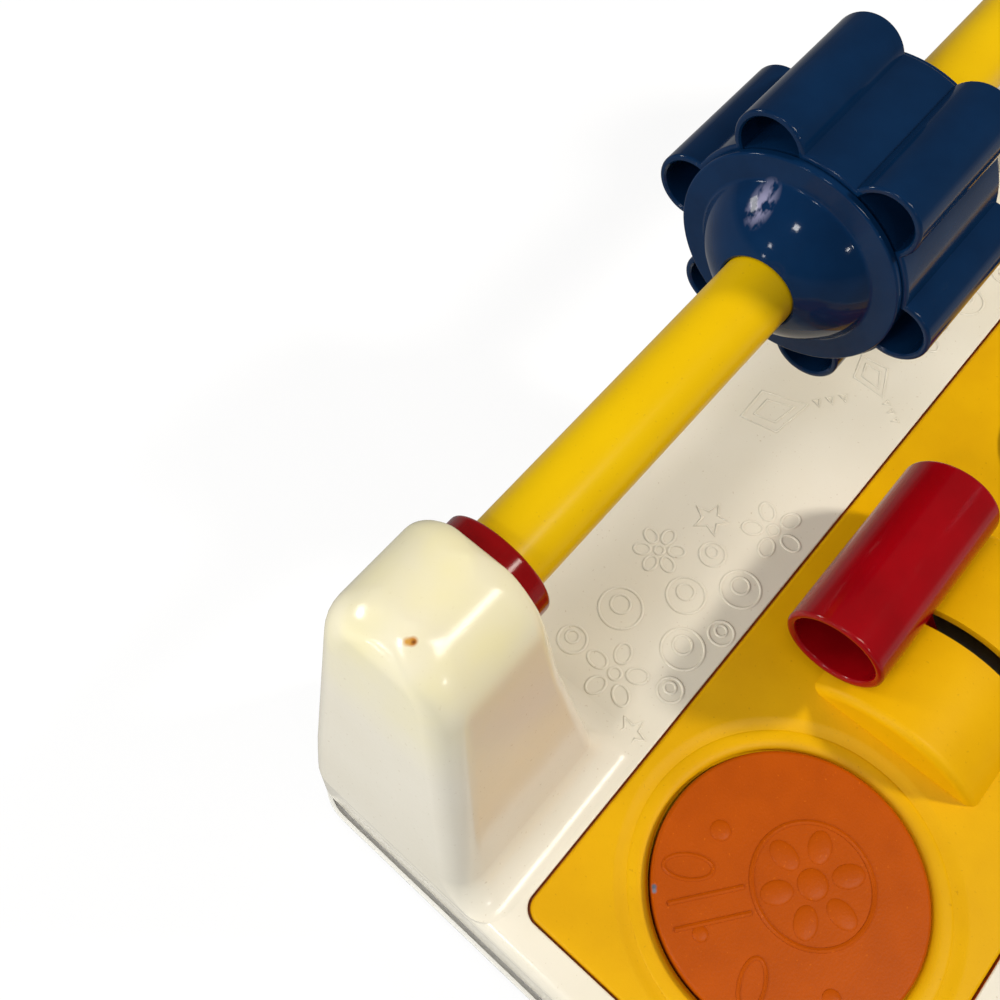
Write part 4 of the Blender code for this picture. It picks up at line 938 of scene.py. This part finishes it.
for turn, x, y in ((0.35, -0.027, -0.006), (2.2, -0.014, 0.025)):
    lines.append(bead(oval(-STATION_X + x, PANEL_Y + y, 0.0070, 0.0034, turn), DISC_LINE * 0.8, DISC_HIGH))
joined(disc, *lines)
shade(disc, 28)
disc_orange = moulded("disc_orange", (0.45, 0.074, 0.0005), (0.38, 0.060, 0.0005), 0.40, mottle=90,
                      mottle_share=0.6, grain=0.35, grain_size=1300, specular=0.14,
                      fleck=(0.62, 0.13, 0.004), fleck_share=0.6)
CHIP_REACH = (1.0, 1.0, 0.6)
spot(disc_orange, (0.10, 0.12, 0.17), (-0.1657, -0.0099, 0.0320), CHIP_REACH, 0.0007, 0.0003)
spot(disc_orange, (0.16, 0.18, 0.24), (-0.1665, -0.0106, 0.0320), CHIP_REACH, 0.0006, 0.0003)
dress(disc, disc_orange, "disc", "orange", "picture_disc")

# Grip tube: the lever's handle, a red polypropylene tube open at both ends, extruded and trimmed.
# It is clipped across the lever's arm, which swings through the hump on a steel pin.
GRIP_OUT = 0.0157
GRIP_IN = 0.013
GRIP_LENGTH = 0.066
rim = (GRIP_OUT - GRIP_IN) / 2
grip_profile = arc_points((-GRIP_LENGTH / 2 + rim, GRIP_OUT - rim), rim, 270, 90, 10)
grip_profile += arc_points((GRIP_LENGTH / 2 - rim, GRIP_OUT - rim), rim, 90, -90, 10)
grip = spun("grip_tube_moulding", grip_profile, (LEVER_X, *middle_of("grip_tube")[1:]), "X", 112)
shade(grip)
grip_red = moulded("grip_red", (0.29, 0.001, 0.004), (0.21, 0.001, 0.003), 0.15, mottle=60,
                   mottle_share=0.7, specular=0.32)
dress(grip, grip_red, "lever", "red", "grip_tube")

# Squeaker button: a domed red cap to push down, moulded styrene with a rolled edge. A rubber
# bellows below it squeaks and lifts it again; the bezel's sleeve guides it.
CROWN = 0.0508
CROWN_OUT = 0.0205
CAP_HIGH = 0.009
CAP_DEPTH = 0.0065
CAP_OUT = 0.022
CAP_ROUND = 0.0012
button_profile = []
for step in range(13):
    angle = math.asin(CROWN_OUT / CROWN) * step / 12
    button_profile.append((DECK + CAP_HIGH - CROWN + CROWN * math.cos(angle), CROWN * math.sin(angle)))
button_profile += arc_points((button_profile[-1][0] - CAP_ROUND, CAP_OUT - CAP_ROUND), CAP_ROUND, 60, 0, 4)
button_profile += [(DECK - CAP_DEPTH, CAP_OUT), (DECK - CAP_DEPTH, 0.0)]
button = spun("button_cap", button_profile, (BUTTON_X, PANEL_Y, 0), "Z", 112)
shade(button)
button_red = moulded("button_red", (0.29, 0.001, 0.004), (0.21, 0.001, 0.003), 0.18)
dress(button, button_red, "button", "red", "squeaker_button")

# Button bezel: the navy ring round the button, one styrene moulding with a sleeve and a rounded
# flange. It snaps into the panel's hole and guides the button.
SLEEVE_LOW = DECK - 0.004
RING_IN = 0.0223
RING_SLEEVE = 0.0247
BEZEL_OUT = 0.030
BEZEL_SEAT = DECK + 0.0003
BEZEL_CROWN = DECK + 0.002
BEZEL_LIP = DECK + 0.003
OUTER_ROUND = 0.0015
INNER_EDGE = 0.001
bezel_profile = [(SLEEVE_LOW, RING_IN), (SLEEVE_LOW, RING_SLEEVE), (BEZEL_SEAT, RING_SLEEVE),
                 (BEZEL_SEAT, BEZEL_OUT)]
bezel_profile += arc_points((BEZEL_CROWN, BEZEL_OUT - OUTER_ROUND), OUTER_ROUND, 90, 20, 6)
bezel_profile += arc_points((BEZEL_LIP, RING_IN + INNER_EDGE), INNER_EDGE, 20, -90, 8)
bezel = spun("button_bezel_ring", bezel_profile, (BUTTON_X, PANEL_Y, 0), "Z", 112)
shade(bezel)
bezel_navy = moulded("bezel_navy", (0.0040, 0.021, 0.068), (0.003, 0.016, 0.052), 0.2)
dress(bezel, bezel_navy, "base", "navy", "button_bezel")

# Clicking dial: the second wheel, a navy styrene moulding with a finger bar across it and figures
# round its edge. It sits in the right well, on a stem with a click wheel and a screw below.
BAR_HALF = 0.028
BAR_WIDE = 0.008
BAR_HIGH = DISC_HIGH + 0.014
BAR_CORNER = 0.0075
BAR_ROUND = 0.003
FIGURES = 6
FIGURE_SIZE = 0.0085
FIGURE_OUT = 0.0300
FIGURE_HIGH = DISC_HIGH + 0.0008
DIAL_RING = 0.0362
DIAL_LINE = 0.0008
POINTER_LINE = 0.0010
POINTER = (0.024, 0.012)
dial = spun("click_dial_moulding", disc_profile, (STATION_X, PANEL_Y, 0), "Z", 144)
bar = rounded_block("bar", (STATION_X - BAR_HALF, PANEL_Y - BAR_WIDE, DISC_HIGH - BITE),
                    (STATION_X + BAR_HALF, PANEL_Y + BAR_WIDE, BAR_HIGH), BAR_CORNER)
pick_edges(bar, level(BAR_HIGH))
bevel_picked(BAR_ROUND, 6)
merge(dial, bar, "UNION")


def numeral(text, size, x, y, low, high, turn):
    """A raised figure, drawn as text and turned into mesh."""
    bpy.ops.object.text_add(location=(x, y, low), rotation=(0, 0, turn))
    letter = bpy.context.object
    letter.data.body = text
    letter.data.size = size
    letter.data.align_x = "CENTER"
    letter.data.align_y = "CENTER"
    letter.data.extrude = high - low
    letter.data.resolution_u = 3
    bpy.ops.object.convert(target="MESH")
    figure = named("numeral")
    outward(figure)
    return figure


details = []
for index in range(FIGURES):
    heading = math.pi / 2 - index * math.tau / FIGURES
    details.append(numeral(str(index + 1), FIGURE_SIZE, *turned(STATION_X, PANEL_Y, FIGURE_OUT, 0, heading),
                           DISC_HIGH, FIGURE_HIGH, heading - math.pi / 2))
details.append(bead(oval(STATION_X, PANEL_Y, DIAL_RING, steps=96), DIAL_LINE, DISC_HIGH))
details.append(bead([(STATION_X - out, PANEL_Y) for out in POINTER], POINTER_LINE, BAR_HIGH, closed=False))
joined(dial, *details)
shade(dial, 30)
dial_navy = moulded("dial_navy", (0.0040, 0.021, 0.068), (0.003, 0.016, 0.052), 0.2)
dress(dial, dial_navy, "dial", "navy", "click_dial")

# Inner and underside pieces: arm, pin, plugs, stop rings, click parts, bellows, screws and feet.
# Moulded, turned, bent or cut parts that keep the CAD model's solids here, since they hardly
# show; each takes a finish of its own: nylon, steel, zinc plating or rubber.
inner_white = moulded("inner_white", (0.72, 0.71, 0.66), (0.62, 0.60, 0.54), 0.42)
rubber_black = moulded("rubber_black", (0.022, 0.022, 0.022), (0.035, 0.034, 0.032), 0.7, specular=0.3)
steel = moulded("zinc_steel", (0.55, 0.55, 0.56), (0.42, 0.42, 0.43), 0.28)
fill(steel.node_tree.nodes["Principled BSDF"], {"Metallic": 1.0})
arm_red = moulded("arm_red", (0.29, 0.001, 0.004), (0.21, 0.001, 0.003), 0.2)
for name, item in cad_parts.items():
    if "rod_plug" in name or "rod_stop" in name or "click_wheel" in name:
        finish = inner_white
    elif name.startswith("rubber_foot") or name == "squeaker_bellows":
        finish = rubber_black
    elif "screw" in name or "spring" in name or name == "lever_pin":
        finish = steel
    elif name == "lever_arm":
        finish = arm_red
    else:
        continue
    item.data.materials.clear()
    item.data.materials.append(finish)

# Floor and light: a pale seamless floor and the lamps of the photographed room. A window stands off
# the left end and a key lamp to the right; a strip only shows in reflections. Small ceiling lights
# show as dots on the polished caps. Nothing of the toy is made here.
bpy.ops.mesh.primitive_plane_add(size=12, location=(0, 0, 0))
floor = named("studio_floor")
pale = bpy.data.materials.new("pale_floor")
pale.use_nodes = True
tree = pale.node_tree
path = node(tree, "LightPath").outputs
dimmed = maths(tree, "MULTIPLY", path["Is Glossy Ray"], 0.25)
seen = maths(tree, "ADD", path["Is Camera Ray"], dimmed, clamp=True)
seen = maths(tree, "ADD", seen, path["Is Transmission Ray"], clamp=True)
fill(tree.nodes["Principled BSDF"], {
    "Base Color": (0.16, 0.16, 0.16, 1), "Roughness": 0.9, "Emission Color": (1, 1, 1, 1),
    "Emission Strength": maths(tree, "MULTIPLY", seen, 0.84)})
floor.data.materials.append(pale)


def lamp(name, start, end, distance, height, watts, colour, mirrored_in=True, lights=True):
    """A soft lamp that faces the near end of the toy. Its two ends are given as directions, its
    width is the way between them. mirrored_in says if glossy pieces reflect it, lights says if it
    throws light on them."""
    target = Vector((-0.12, 0.03, 0.06))
    first = target + Vector(start).normalized() * distance
    last = target + Vector(end).normalized() * distance
    data = bpy.data.lights.new(name, "AREA")
    data.shape = "RECTANGLE"
    data.size = (last - first).length
    data.size_y = height
    data.energy = watts
    data.color = colour
    item = bpy.data.objects.new(name, data)
    bpy.context.scene.collection.objects.link(item)
    back = ((first + last) / 2 - target).normalized()
    along = (last - first).normalized()
    item.matrix_world = Matrix.Translation((first + last) / 2) @ Matrix(
        (along, back.cross(along), back)).transposed().to_4x4()
    item.visible_glossy = mirrored_in
    item.visible_diffuse = lights


lamp("window", (-0.80, 0.56, 0.36), (-0.90, -0.22, 0.36), 1.8, 1.2, 18.5, (0.97, 0.99, 1.0), False)
lamp("strip", (-0.19, -0.41, 0.89), (0.30, -0.56, 0.78), 1.1, 0.11, 4.4, (1.0, 0.93, 0.83), lights=False)
lamp("key", (0.60, -0.52, 0.60), (0.68, -0.43, 0.60), 1.1, 0.12, 8.6, (1.0, 0.95, 0.87), False)
lamp("overhead", (-0.40, 0.10, 0.95), (0.10, 0.12, 0.98), 1.1, 0.4, 2.6, (1.0, 0.97, 0.92), False)
lamp("back", (-0.46, 0.83, 0.37), (-0.24, 0.89, 0.37), 1.2, 0.16, 3.4, (1.0, 0.97, 0.92))
DOWNLIGHTS = (((-0.675, 0.044, 0.736), 0.12, 2.0), ((-0.906, 0.315, 0.283), 0.07, 0.6),
              ((-0.943, 0.333, 0.060), 0.06, 0.3), ((-0.311, -0.796, 0.519), 0.07, 0.6))
for number, (way, size, watts) in enumerate(DOWNLIGHTS):
    beside = (way[0], way[1] + size / 1.2, way[2])
    lamp(f"downlight_{number}", way, beside, 1.2, size, watts, (1.0, 0.98, 0.96))
world = bpy.data.worlds.new("room")
world.use_nodes = True
tree = world.node_tree
camera_ray = node(tree, "LightPath").outputs["Is Camera Ray"]
fill(tree.nodes["Background"], {
    "Color": (0.96, 0.97, 1.0, 1), "Strength": maths(tree, "MULTIPLY_ADD", camera_ray, 0.80, 0.12)})
bpy.context.scene.world = world
bpy.context.scene.view_settings.view_transform = "Standard"

# Camera: held by hand above the left end and looking down along the rod. A plain lens with a
# modest angle; its place and turn were fitted to the photographed outline of the near end.
FOCAL_PX = 1050
PHOTO_PX = 1000
SENSOR_MM = 36.0
CAMERA_PLACE = (-0.2153, -0.0037, 0.3447)
CAMERA_RIGHT = Vector((0.6594, -0.7516, -0.0185))
CAMERA_UP = Vector((0.6793, 0.5851, 0.4430))
camera_data = bpy.data.cameras.new("photo_camera")
camera_data.sensor_width = SENSOR_MM
camera_data.lens = SENSOR_MM * FOCAL_PX / PHOTO_PX
camera_data.clip_start = 0.01
camera = bpy.data.objects.new("photo_camera", camera_data)
bpy.context.scene.collection.objects.link(camera)
camera_right = CAMERA_RIGHT.normalized()
camera_back = camera_right.cross(CAMERA_UP).normalized()
camera_up = camera_back.cross(camera_right)
camera.matrix_world = Matrix.Translation(CAMERA_PLACE) @ Matrix(
    (camera_right, camera_up, camera_back)).transposed().to_4x4()
bpy.context.scene.camera = camera
